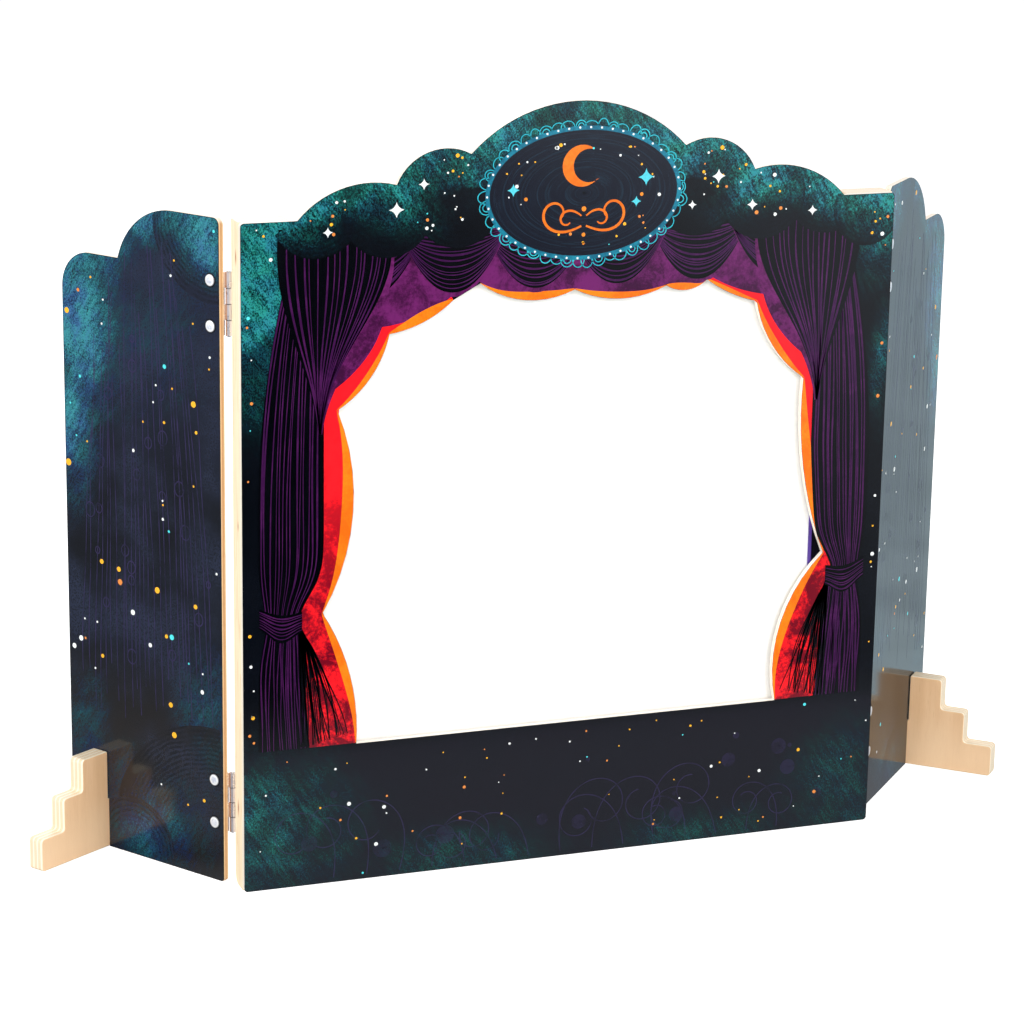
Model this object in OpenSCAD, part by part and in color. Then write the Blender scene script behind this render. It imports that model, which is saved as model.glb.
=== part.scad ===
// Table-top shadow theatre. A printed plywood front with a scalloped crest and a
// curtain-shaped opening stands between two hinged wings, each on a stepped foot that
// locks across it. A cloth screen closes the opening from behind.
// Origin at the middle of the front panel's bottom edge, +Y towards the back, +Z up.

/* [Front panel] */
// Width across the front
panel_w = 548; // [480:1:660]
// Height up to the shoulders
panel_h = 540; // [470:1:650]
// Thickness of all the printed plywood
ply = 5; // [4:0.5:7]
// Height of the apron below the opening
apron_h = 116; // [97:1:140]
// Radius at the corners of the panel and wings
corner_r = 3; // [1:0.5:8]

/* [Crest] */
// Flat shoulder outside the outer lobes
shoulder_w = 45; // [30:1:60]
// Radius of the two outer lobes
outer_lobe_r = 78; // [65:1:90]
// Height of the outer lobes above the shoulders
outer_lobe_rise = 27; // [20:1:35]
// Radius of the two lobes beside the middle
side_lobe_r = 43; // [35:1:52]
// Height of those lobes above the shoulders
side_lobe_rise = 51; // [40:1:60]
// Distance between an outer lobe's centre and its neighbour's
lobe_pitch = 60; // [50:1:72]
// Radius of the middle lobe
centre_lobe_r = 124; // [104:1:148]
// Height of the middle lobe above the shoulders
centre_lobe_rise = 84; // [70:1:100]

/* [Stiles] */
// Width of the pine stiles behind the panel's edges
stile_w = 40; // [34:1:44]
// Depth of the stiles
stile_d = 21; // [18:1:26]
// Radius at the lower back edge of each stile
stile_r = 7; // [2:1:12]

/* [Wings] */
// Width of a wing
wing_w = 168; // [150:1:200]
// Width of the flat top beside the hinge
wing_flat = 49; // [40:1:58]
// Radius of the taller lobe
wing_lobe_r = 60; // [50:1:66]
// Drop from the taller lobe to the outer one
wing_step = 44; // [36:1:52]
// Radius of the outer lobe
wing_end_r = 30; // [20:1:36]
// Fold of the left wing from the plane of the front, degrees
fold_left = 57; // [0:0.5:140]
// Fold of the right wing from the plane of the front, degrees
fold_right = 46.5; // [0:0.5:140]

/* [Feet] */
// Length of a foot along the floor
foot_l = 160; // [134:1:180]
// Length at the second step
foot_mid_l = 108; // [90:1:130]
// Length at the top step
foot_top_l = 64; // [50:1:80]
// Rise of each of the three steps
foot_rise = 27.5; // [23:0.5:33]
// Thickness of a foot
foot_t = 15; // [12:0.5:20]
// Distance from the wing's hinged edge to the foot
foot_set = 127; // [106:1:135]
// Radius at the corners of the steps
foot_r = 3; // [1:0.5:5]
// Rounding along the foot's edges
foot_ease = 1; // [0.5:0.25:2]
// Clearance in the crossed slots
slot_gap = 0.4; // [0.2:0.1:0.8]

/* [Hinges] */
// Length of a hinge
hinge_l = 50; // [42:1:60]
// Distance from the top or bottom edge to the middle of a hinge
hinge_inset = 67; // [55:1:90]
// Width of a leaf, from the pin's centre
leaf_w = 18; // [16:0.5:22]
// Thickness of a leaf
leaf_t = 1.2; // [0.8:0.1:1.6]
// Outer radius of the knuckles
knuckle_r = 2.5; // [2.2:0.1:3.2]
// Radius of the hinge pin
pin_r = 1.2; // [0.9:0.05:1.4]
// Running clearance around the pin
pin_gap = 0.05; // [0.03:0.01:0.1]
// Gap between neighbouring knuckles
knuckle_gap = 0.3; // [0.2:0.1:0.5]
// Distance between a leaf's two fasteners
screw_pitch = 36; // [30:1:38]
// Distance from the pin's centre to the fasteners
screw_set = 12.4; // [9:0.1:14]

/* [Fasteners] */
// Radius of the nickel bolt heads on the wings
bolt_head_r = 4.75; // [4:0.25:6]
// Height of those heads
bolt_head_h = 1.2; // [1:0.1:2.5]
// Height of the straight rim around those heads
bolt_rim_h = 0.6; // [0.4:0.1:0.8]
// Radius of the bolts' shanks
bolt_r = 2; // [1.5:0.1:2.5]
// Radius of the nuts behind the wings
nut_r = 3.6; // [3:0.1:4.5]
// Height of those nuts
nut_h = 2.2; // [1.5:0.1:3]
// Radius of the countersunk screw heads on the stiles
screw_head_r = 3.2; // [2.5:0.1:4]
// Radius of the screws' shanks
screw_r = 1.5; // [1:0.1:2]
// Length of the screws below the leaf
screw_l = 12; // [8:1:15]

/* [Screen] */
// Width of the fastening tape around the screen
tape_w = 17; // [12:1:20]
// Thickness of each half of the tape
tape_t = 1.2; // [0.8:0.1:2]
// Width of the coloured binding beside the side tapes
binding_w = 3; // [2:0.5:5]
// Thickness of the screen cloth
cloth_t = 0.8; // [0.5:0.1:1.5]
// Distance from the shoulders down to the top of the screen
screen_top = 30; // [20:1:38]
// Distance from the floor up to the bottom of the screen
screen_base = 90; // [75:1:94]
// Space between the tape and the stiles, and between the ends of tapes
tape_gap = 1.5; // [0.5:0.5:2]

/* [Hidden] */

$fn = 64;

// Half width of the panel, and the plane of its back
half_w = panel_w / 2;
panel_back = ply / 2;

// Hinge pins stand just outside the stiles' back corners, tangent to their backs
stile_back = panel_back + stile_d;
pin_offset = 1.5;
pin_x = half_w + pin_offset;
pin_y = stile_back + knuckle_r;
hinge_z_top = panel_h - hinge_inset;
hinge_z_bottom = hinge_inset;

// Wing measures in the hinge's own frame: x away from the pin, -y towards the front
edge_gap = 3;
wing_back = -knuckle_r;
wing_front = wing_back - ply;
wing_mid = wing_back - ply / 2;
wing_end = edge_gap + wing_w;
foot_h = 3 * foot_rise;
foot_x = edge_gap + foot_set;

// Knuckles of one hinge, and the play that keeps each leaf off the other's knuckles
knuckle_count = 4;
knuckle_h = (hinge_l - (knuckle_count - 1) * knuckle_gap) / knuckle_count;
leaf_play = 0.4;
leaf_r = 1.5;

// Play of the fasteners in their holes, and how far a screw's hole runs past its tip
bolt_play = 0.15;
nut_play = 0.05;
screw_play = 0.05;
hole_spare = 0.5;

// Tape and cloth lie one behind the other on the panel's back
tape_y = panel_back;
loop_y = tape_y + tape_t;
cloth_y = loop_y + tape_t;
screen_half = half_w - stile_w - tape_gap;
screen_z0 = screen_base;
screen_z1 = panel_h - screen_top;

// Outline of the opening, clockwise from its lower left corner. Each mark is x, z and how
// far the edge swells into the opening on its way to the next mark.
curtain_marks = [
    [-half_w + 93, apron_h, 9],
    [-half_w + 65, apron_h + 111, 19],
    [-half_w + 77, panel_h - 150, 7.5],
    [-half_w + 119, panel_h - 92, 4.5],
    [-half_w + 171, panel_h - 68, 0],
    [-half_w + 193, panel_h - 56, 11],
    [-2, panel_h - 65, 9],
    [half_w - 198, panel_h - 66, 6],
    [half_w - 163, panel_h - 63, 2.5],
    [half_w - 119, panel_h - 83, 8],
    [half_w - 75, panel_h - 149, 9],
    [half_w - 51, apron_h + 125, 17.5],
    [half_w - 90, apron_h, 0],
];
curve_steps = 10;

// Points of the arc from p towards q that swells by sag to the right of the way, without q
function swell(p, q, sag) =
    sag == 0 ? [p] :
    let (
        chord = norm(q - p),
        along = (q - p) / chord,
        across = [along[1], -along[0]],
        radius = (chord * chord / 4 + sag * sag) / (2 * sag),
        half = asin(chord / 2 / radius)
    )
    [for (i = [0 : curve_steps - 1])
        let (a = half * (2 * i / curve_steps - 1))
        (p + q) / 2 + along * radius * sin(a) + across * (radius * cos(a) - radius + sag)];

function mark(i) = [curtain_marks[i][0], curtain_marks[i][1]];

function curtain_outline() =
    let (n = len(curtain_marks))
    [for (i = [0 : n - 1]) each swell(mark(i), mark((i + 1) % n), curtain_marks[i][2])];

function unit(v) = v / norm(v);

// A closed anticlockwise outline of marks x, y, corner radius, drawn in by inset all round
function rounded(marks, inset = 0, steps = 3) =
    let (n = len(marks), at = [for (m = marks) [m[0], m[1]]])
    [for (i = [0 : n - 1])
        let (
            corner = at[i],
            r = marks[i][2],
            a = unit(at[(i + n - 1) % n] - corner),
            b = unit(at[(i + 1) % n] - corner),
            half = acos(a * b) / 2,
            centre = corner + unit(a + b) * r / sin(half),
            from = corner + a * r / tan(half) - centre,
            to = corner + b * r / tan(half) - centre,
            start = atan2(from[1], from[0]),
            turn = (atan2(to[1], to[0]) - start + 540) % 360 - 180,
            drawn = r + inset * sign(cross(a, b))
        )
        for (k = [0 : steps])
            centre + drawn * [cos(start + turn * k / steps), sin(start + turn * k / steps)]];

// Stands a flat outline up in the x-z plane, its thickness running from y = back to the front
module upright(back, thick) {
    translate([0, back, 0])
        rotate([90, 0, 0])
            linear_extrude(thick) children();
}

// Material outside a rounded corner, with the corner at the origin and the body at +x +y
module corner_waste(r) {
    difference() {
        translate([-1, -1]) square(r + 1);
        translate([r, r]) circle(r);
    }
}

module lobe(x, rise, r) {
    translate([x, panel_h + rise - r]) circle(r);
}

// Front panel
module panel_outline() {
    outer_drop = outer_lobe_r - outer_lobe_rise;
    outer_x = half_w - shoulder_w - sqrt(outer_lobe_r ^ 2 - outer_drop ^ 2);
    difference() {
        union() {
            translate([-half_w, 0]) square([panel_w, panel_h]);
            lobe(0, centre_lobe_rise, centre_lobe_r);
            for (side = [-1, 1]) {
                lobe(side * outer_x, outer_lobe_rise, outer_lobe_r);
                lobe(side * (outer_x - lobe_pitch), side_lobe_rise, side_lobe_r);
            }
        }
        polygon(curtain_outline());
        for (side = [0, 1], end = [0, 1])
            mirror([side, 0]) translate([-half_w, end * panel_h]) mirror([0, end]) corner_waste(corner_r);
    }
}

module front_panel() {
    color("midnightblue") upright(panel_back, ply, $fn = 128) panel_outline();
}

// Everything on one side is drawn for the right and mirrored for the left
module on_side(side) {
    mirror([side < 0 ? 1 : 0, 0, 0]) children();
}

module stile(side) {
    color("burlywood") on_side(side) difference() {
        translate([half_w - stile_w, panel_back, 0]) cube([stile_w, stile_d, panel_h]);
        translate([half_w - stile_w - 1, stile_back, 0])
            rotate([90, 0, 90])
                linear_extrude(stile_w + 2) mirror([1, 0]) corner_waste(stile_r);
        for (z = [hinge_z_bottom, hinge_z_top])
            translate([pin_x, pin_y, z]) mirror([1, 0, 0])
                fastener_holes(screw_r + screw_play, -knuckle_r - screw_l - hole_spare, -knuckle_r + 1);
    }
}

// Two holes across a leaf, from y0 to y1 in the hinge's frame
module fastener_holes(r, y0, y1) {
    for (end = [-1, 1])
        translate([screw_set, y1, end * screw_pitch / 2]) rotate([90, 0, 0]) cylinder(r = r, h = y1 - y0);
}

// Screen
module tape(x0, z0, w, h, y, thick) {
    translate([x0, y, z0]) cube([w, thick, h]);
}

module side_tape(side, y) {
    on_side(side) tape(screen_half - tape_w, screen_z0, tape_w, screen_z1 - screen_z0, y, tape_t);
}

module cross_tape(z, y) {
    half = screen_half - tape_w - binding_w - tape_gap;
    tape(-half, z, 2 * half, tape_w, y, tape_t);
}

module binding(side) {
    color("rebeccapurple") on_side(side)
        tape(screen_half - tape_w - binding_w, screen_z0, binding_w, screen_z1 - screen_z0, loop_y, tape_t);
}

module screen_cloth() {
    color("whitesmoke")
        tape(-screen_half, screen_z0, 2 * screen_half, screen_z1 - screen_z0, cloth_y, cloth_t);
}

// Puts its children in a hinge's frame, turned by the wing's fold
module at_hinge(side, fold, z = 0) {
    on_side(side) translate([pin_x, pin_y, z]) rotate([0, 0, fold]) children();
}

function fold(side) = side < 0 ? fold_left : fold_right;

// Wings
module wing_outline() {
    difference() {
        union() {
            translate([edge_gap, 0]) square([wing_flat, panel_h]);
            intersection() {
                translate([edge_gap + wing_flat, panel_h - wing_lobe_r]) circle(wing_lobe_r);
                translate([edge_gap, 0]) square([wing_w, panel_h]);
            }
            translate([edge_gap, 0]) square([wing_w - wing_end_r, panel_h - wing_step]);
            translate([wing_end - wing_end_r, panel_h - wing_step - wing_end_r]) circle(wing_end_r);
            translate([edge_gap, 0]) square([wing_w, panel_h - wing_step - wing_end_r]);
        }
        translate([edge_gap, 0]) corner_waste(corner_r);
        translate([wing_end, 0]) mirror([1, 0]) corner_waste(corner_r);
        translate([edge_gap, panel_h]) mirror([0, 1]) corner_waste(2 * corner_r);
        translate([foot_x - slot_gap, -1]) square([foot_t + 2 * slot_gap, foot_h / 2 + slot_gap + 1]);
    }
}

module wing(side) {
    color("darkslateblue") at_hinge(side, fold(side)) difference() {
        upright(wing_back, ply, $fn = 96) wing_outline();
        for (z = [hinge_z_bottom, hinge_z_top])
            translate([0, 0, z]) fastener_holes(bolt_r + bolt_play, wing_front - 1, wing_back + 1);
    }
}

// Feet, stepped on both sides of the wing and slotted down from the top to cross it
function foot_marks() =
    let (
        slot_half = ply / 2 + slot_gap,
        mouth_r = foot_ease + 0.2,
        root_r = 0.8,
        right_half = [
            [foot_l / 2, 0, foot_r], [foot_l / 2, foot_rise, foot_r],
            [foot_mid_l / 2, foot_rise, foot_r], [foot_mid_l / 2, 2 * foot_rise, foot_r],
            [foot_top_l / 2, 2 * foot_rise, foot_r], [foot_top_l / 2, foot_h, foot_r],
            [slot_half, foot_h, mouth_r], [slot_half, foot_h / 2, root_r]
        ]
    )
    concat(right_half, [for (i = [len(right_half) - 1 : -1 : 0])
        [-right_half[i][0], right_half[i][1], right_half[i][2]]]);

// The outline drawn in on a quarter round towards each face: rings of distance, inset
function ease_rings() =
    let (n = 3, quarter = [for (k = [0 : n]) foot_ease * [1 - cos(90 * k / n), 1 - sin(90 * k / n)]])
    concat(quarter, [for (k = [n : -1 : 0]) [foot_t - quarter[k][0], quarter[k][1]]]);

// One ring of the outline: right half, middle of the slot, left half, middle of the base
function foot_ring(inset) =
    let (outline = rounded(foot_marks(), inset), n = len(outline) / 2)
    concat(
        [for (i = [0 : n - 1]) outline[i]], [[0, foot_h / 2 - inset]],
        [for (i = [n : 2 * n - 1]) outline[i]], [[0, inset]]
    );

// Triangles from a middle point to every edge of a loop
function fan(middle, loop, flip) =
    [for (i = [0 : len(loop) - 1])
        let (a = loop[i], b = loop[(i + 1) % len(loop)])
        flip ? [middle, b, a] : [middle, a, b]];

// Each face is two fans, one on either side of the slot
module foot(side) {
    ease = ease_rings();
    rings = [for (e = ease) [for (p = foot_ring(e[1])) [foot_x + e[0], wing_mid + p[0], p[1]]]];
    count = len(rings[0]);
    last = len(rings) - 1;
    right_loop = concat([count - 1], [for (i = [0 : count / 2 - 1]) i]);
    left_loop = [for (i = [count / 2 - 1 : count - 1]) i];
    middles = [for (x = [0, foot_t], half = [1, -1])
        [foot_x + x, wing_mid + half * foot_top_l / 4, foot_rise / 2]];
    first_middle = count * len(rings);
    color("wheat") at_hinge(side, fold(side)) polyhedron(
        points = concat([for (ring = rings) each ring], middles),
        faces = concat(
            fan(first_middle, right_loop, false),
            fan(first_middle + 1, left_loop, false),
            fan(first_middle + 2, [for (i = right_loop) last * count + i], true),
            fan(first_middle + 3, [for (i = left_loop) last * count + i], true),
            [for (k = [0 : last - 1], i = [0 : count - 1])
                let (j = (i + 1) % count)
                [k * count + i, (k + 1) * count + i, (k + 1) * count + j, k * count + j]]
        )
    );
}

// Hinges: two pressed leaves whose knuckles share one pin
module leaf(first, hole_r, sink_r) {
    plate_x = knuckle_r + leaf_play;
    plate = [
        [plate_x, -hinge_l / 2, leaf_play], [leaf_w, -hinge_l / 2, leaf_r],
        [leaf_w, hinge_l / 2, leaf_r], [plate_x, hinge_l / 2, leaf_play]
    ];
    difference() {
        union() {
            upright(-knuckle_r + leaf_t, leaf_t) polygon(rounded(plate));
            for (i = [first : 2 : knuckle_count - 1])
                translate([0, 0, i * (knuckle_h + knuckle_gap) - hinge_l / 2]) {
                    cylinder(r = knuckle_r, h = knuckle_h);
                    translate([0, -knuckle_r, 0]) cube([plate_x + leaf_play, leaf_t, knuckle_h]);
                }
        }
        translate([0, 0, -hinge_l / 2 - 1]) cylinder(r = pin_r + pin_gap, h = hinge_l + 2);
        fastener_holes(hole_r, -knuckle_r - 1, -knuckle_r + leaf_t + 1);
        for (end = [-1, 1])
            translate([screw_set, -knuckle_r + leaf_t, end * screw_pitch / 2])
                rotate([90, 0, 0]) cylinder(r1 = sink_r, r2 = hole_r, h = leaf_t);
    }
}

module fixed_leaf(side, z) {
    color("silver") at_hinge(side, 0, z) mirror([1, 0, 0])
        leaf(0, screw_r + screw_play, screw_head_r + screw_play);
}

module wing_leaf(side, z) {
    color("silver") at_hinge(side, fold(side), z)
        leaf(1, bolt_r + bolt_play, bolt_r + bolt_play);
}

module pin(side, z) {
    rivet_r = knuckle_r - 0.4;
    rivet_h = 0.8;
    end_play = 0.1;
    color("gainsboro") at_hinge(side, 0, z) {
        translate([0, 0, -hinge_l / 2 - end_play]) cylinder(r = pin_r, h = hinge_l + 2 * end_play);
        for (end = [0, 1])
            mirror([0, 0, end]) translate([0, 0, hinge_l / 2 + end_play])
                cylinder(r1 = rivet_r, r2 = pin_r, h = rivet_h);
    }
}

// Countersunk screws with a cross recess, their faces flush with the leaf
module screws(side, z) {
    recess_l = 2.6;
    recess_w = 0.7;
    recess_h = 0.8;
    tip_h = 3;
    tip_r = 0.2;
    tip_z = leaf_t + screw_l - tip_h;
    color("gainsboro") at_hinge(side, 0, z) mirror([1, 0, 0])
        for (end = [-1, 1])
            translate([screw_set, -knuckle_r + leaf_t, end * screw_pitch / 2])
                rotate([90, 0, 0]) difference() {
                    union() {
                        cylinder(r1 = screw_head_r, r2 = screw_r, h = leaf_t);
                        translate([0, 0, leaf_t]) cylinder(r = screw_r, h = screw_l - tip_h);
                        translate([0, 0, tip_z]) cylinder(r1 = screw_r, r2 = tip_r, h = tip_h);
                    }
                    for (turn = [45, 135])
                        rotate([0, 0, turn]) cube([recess_l, recess_w, 2 * recess_h], center = true);
                }
}

// Bolts with wide, slightly crowned heads on the printed face, and their nuts on the back
module bolts(side, z) {
    crown_h = bolt_head_h - bolt_rim_h;
    crown_r = (bolt_head_r ^ 2 + crown_h ^ 2) / (2 * crown_h);
    end_short = 0.4;
    shank_l = ply + leaf_t + nut_h - end_short;
    color("silver") at_hinge(side, fold(side), z)
        for (end = [-1, 1])
            translate([screw_set, wing_front, end * screw_pitch / 2]) {
                rotate([90, 0, 0]) rotate_extrude() {
                    square([bolt_head_r, bolt_rim_h]);
                    intersection() {
                        translate([0, bolt_head_h - crown_r]) circle(crown_r);
                        square([bolt_head_r, bolt_head_h]);
                    }
                }
                rotate([-90, 0, 0]) cylinder(r = bolt_r, h = shank_l);
            }
}

module nuts(side, z) {
    bevel = 0.8;
    color("silver") at_hinge(side, fold(side), z)
        for (end = [-1, 1])
            translate([screw_set, -knuckle_r + leaf_t, end * screw_pitch / 2])
                rotate([-90, 0, 0]) difference() {
                    union() {
                        cylinder(r = nut_r, h = nut_h / 2);
                        translate([0, 0, nut_h / 2]) cylinder(r1 = nut_r, r2 = nut_r - bevel, h = nut_h / 2);
                    }
                    translate([0, 0, -1]) cylinder(r = bolt_r + nut_play, h = nut_h + 2);
                }
}

front_panel();
stile(-1);  // left_stile
stile(1);  // right_stile
screen_cloth();
color("black") side_tape(-1, loop_y);  // left_loop_tape
color("black") side_tape(1, loop_y);  // right_loop_tape
color("black") cross_tape(screen_z1 - tape_w, loop_y);  // top_loop_tape
color("black") cross_tape(screen_z0, loop_y);  // bottom_loop_tape
color("black") side_tape(-1, tape_y);  // left_hook_tape
color("black") side_tape(1, tape_y);  // right_hook_tape
color("black") cross_tape(screen_z1 - tape_w, tape_y);  // top_hook_tape
color("black") cross_tape(screen_z0, tape_y);  // bottom_hook_tape
binding(-1);  // left_binding
binding(1);  // right_binding
wing(-1);  // left_wing
wing(1);  // right_wing
foot(-1);  // left_foot
foot(1);  // right_foot
fixed_leaf(-1, hinge_z_top);  // left_top_fixed_leaf
fixed_leaf(-1, hinge_z_bottom);  // left_bottom_fixed_leaf
fixed_leaf(1, hinge_z_top);  // right_top_fixed_leaf
fixed_leaf(1, hinge_z_bottom);  // right_bottom_fixed_leaf
wing_leaf(-1, hinge_z_top);  // left_top_wing_leaf
wing_leaf(-1, hinge_z_bottom);  // left_bottom_wing_leaf
wing_leaf(1, hinge_z_top);  // right_top_wing_leaf
wing_leaf(1, hinge_z_bottom);  // right_bottom_wing_leaf
pin(-1, hinge_z_top);  // left_top_pin
pin(-1, hinge_z_bottom);  // left_bottom_pin
pin(1, hinge_z_top);  // right_top_pin
pin(1, hinge_z_bottom);  // right_bottom_pin
screws(-1, hinge_z_top);  // left_top_screws
screws(-1, hinge_z_bottom);  // left_bottom_screws
screws(1, hinge_z_top);  // right_top_screws
screws(1, hinge_z_bottom);  // right_bottom_screws
bolts(-1, hinge_z_top);  // left_top_bolts
bolts(-1, hinge_z_bottom);  // left_bottom_bolts
bolts(1, hinge_z_top);  // right_top_bolts
bolts(1, hinge_z_bottom);  // right_bottom_bolts
nuts(-1, hinge_z_top);  // left_top_nuts
nuts(-1, hinge_z_bottom);  // left_bottom_nuts
nuts(1, hinge_z_top);  // right_top_nuts
nuts(1, hinge_z_bottom);  // right_bottom_nuts
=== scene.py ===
import math

import bmesh
import bpy
import numpy as np
from mathutils import Matrix, Vector


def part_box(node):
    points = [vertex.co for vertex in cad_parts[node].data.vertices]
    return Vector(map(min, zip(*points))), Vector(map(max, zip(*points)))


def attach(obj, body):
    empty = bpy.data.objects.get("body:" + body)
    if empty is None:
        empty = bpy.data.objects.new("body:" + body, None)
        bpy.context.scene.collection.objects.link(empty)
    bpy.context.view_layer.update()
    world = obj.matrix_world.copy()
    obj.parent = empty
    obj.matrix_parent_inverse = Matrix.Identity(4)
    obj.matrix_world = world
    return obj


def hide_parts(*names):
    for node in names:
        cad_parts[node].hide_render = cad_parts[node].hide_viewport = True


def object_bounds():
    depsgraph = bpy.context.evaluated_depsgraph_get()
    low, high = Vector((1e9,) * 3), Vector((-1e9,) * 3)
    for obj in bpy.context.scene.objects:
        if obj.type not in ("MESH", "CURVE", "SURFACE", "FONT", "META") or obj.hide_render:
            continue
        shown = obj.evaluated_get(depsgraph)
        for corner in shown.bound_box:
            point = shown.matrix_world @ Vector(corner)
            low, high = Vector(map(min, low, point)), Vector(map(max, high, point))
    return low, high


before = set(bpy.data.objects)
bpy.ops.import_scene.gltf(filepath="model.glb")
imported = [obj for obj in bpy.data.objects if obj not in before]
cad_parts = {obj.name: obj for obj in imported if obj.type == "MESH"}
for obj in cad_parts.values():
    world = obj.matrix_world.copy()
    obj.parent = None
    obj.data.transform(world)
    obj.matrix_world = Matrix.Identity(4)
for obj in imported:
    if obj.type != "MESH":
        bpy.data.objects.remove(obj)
cadBox = [list(corner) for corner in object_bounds()]
print("frame: %d nodes" % len(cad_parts))

sides = ("left", "right")
mirror = {"left": -1, "right": 1}


# Camera, lamps and floor
shot = {
    "place": (-0.9171, -2.3632, 0.9818),
    "turn": 20.13,  # degrees to the right of straight ahead
    "dip": 15.23,
    "roll": 0.90,
    "lens": 115.03,
    "sensor": 36.0,
}
lamps = {  # place, aim, size in metres, level on a face turned to it (1 shows a colour as written)
    "key": ((-1.2, -2.3, 1.8), (0.0, 0.0, 0.25), 1.5, 0.50),
    "fill": ((1.4, -2.2, 1.3), (0.0, 0.0, 0.25), 1.6, 0.40),
    "side": ((-2.6, -0.4, 1.1), (0.0, 0.0, 0.30), 1.5, 0.36),
    "rear": ((0.3, 2.4, 2.0), (0.0, 0.1, 0.30), 1.6, 0.40),
}
room = {
    "ambient": 0.42,
    "floorColour": 0.80,
    "floorGlow": 0.67,
    "floorHalf": 12.0,
    "floorGap": 0.0002,
    # what the varnish mirrors: each strength, and the stretch of floor over which it comes in or goes out
    "right": (0.903, 1.176),
    "rightAcross": (0.32, 0.55),
    "rightBack": (-0.30, -0.05),
    "front": 0.63,
    "frontAcross": (0.12, 0.95),
    "far": 0.42,
    "farOut": (-4.0, -3.3),
    "near": 0.42,
    "nearOut": (-0.50, -0.24),
    "nearAcross": (-0.36, -0.28),
    "left": 0.28,
    "leftAcross": (-0.45, -0.30),
    "rightTint": (0.70, 0.88, 0.96, 1.0),
    "frontTint": (0.93, 0.98, 1.06, 1.0),
}


def show(name, data):
    thing = bpy.data.objects.new(name, data)
    bpy.context.scene.collection.objects.link(thing)
    return thing


def placeCamera():
    turn, dip, roll = (math.radians(shot[key]) for key in ("turn", "dip", "roll"))
    ahead = Vector((math.sin(turn) * math.cos(dip), math.cos(turn) * math.cos(dip), -math.sin(dip)))
    right = Vector((math.cos(turn), -math.sin(turn), 0))
    up = right.cross(ahead)
    axes = Matrix((
        right * math.cos(roll) + up * math.sin(roll),
        up * math.cos(roll) - right * math.sin(roll),
        -ahead,
    )).transposed()
    camera = show("camera", bpy.data.cameras.new("camera"))
    camera.data.lens = shot["lens"]
    camera.data.sensor_width = shot["sensor"]
    camera.matrix_world = Matrix.Translation(shot["place"]) @ axes.to_4x4()
    bpy.context.scene.camera = camera


def placeLamps():
    for name, (place, aim, size, level) in lamps.items():
        path = Vector(aim) - Vector(place)
        lamp = bpy.data.lights.new(name, "AREA")
        lamp.shape = "DISK"
        lamp.size = size
        lamp.energy = level * (math.pi * path.length) ** 2  # a face at that distance gets the level named
        holder = show(name, lamp)
        holder.location = place
        holder.rotation_euler = path.to_track_quat("-Z", "Y").to_euler()


# Node materials
def paint(red, green, blue):
    # a colour as a paint chart gives it, 0 to 255, in the linear light that the nodes work in
    chart = np.array([red, green, blue]) / 255
    linear = np.where(chart <= 0.04045, chart / 12.92, ((chart + 0.055) / 1.055) ** 2.4)
    return (*linear.tolist(), 1.0)


class Nodes:
    # short calls for shader nodes: a number or colour fills a socket, a socket is linked to it
    def __init__(self, tree):
        self.tree = tree

    def feed(self, socket, value):
        if isinstance(value, bpy.types.NodeSocket):
            self.tree.links.new(value, socket)
        else:
            socket.default_value = value

    def add(self, kind, inputs=None, **options):
        node = self.tree.nodes.new("ShaderNode" + kind)
        for option, value in options.items():
            setattr(node, option, value)
        for socket, value in (inputs or {}).items():
            self.feed(node.inputs[socket], value)
        return node

    def math(self, operation, first, second=0.0, third=0.0):
        return self.add("Math", {0: first, 1: second, 2: third}, operation=operation).outputs[0]

    def times(self, first, second):
        return self.math("MULTIPLY", first, second)

    def plus(self, first, second):
        return self.math("ADD", first, second)

    def minus(self, first, second):
        return self.math("SUBTRACT", first, second)

    def larger(self, first, second):
        return self.math("MAXIMUM", first, second)

    def size(self, value):
        return self.math("ABSOLUTE", value)

    def ramp(self, value, low, high, start=0.0, end=1.0, smooth=True):
        kind = "SMOOTHSTEP" if smooth else "LINEAR"
        sockets = {"Value": value, "From Min": low, "From Max": high, "To Min": start, "To Max": end}
        return self.add("MapRange", sockets, interpolation_type=kind).outputs["Result"]

    def rays(self):
        # what the camera sees, straight or through glass, and what a gloss mirrors
        path = self.add("LightPath").outputs
        return self.larger(path["Is Camera Ray"], path["Is Transmission Ray"]), path["Is Glossy Ray"]


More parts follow.
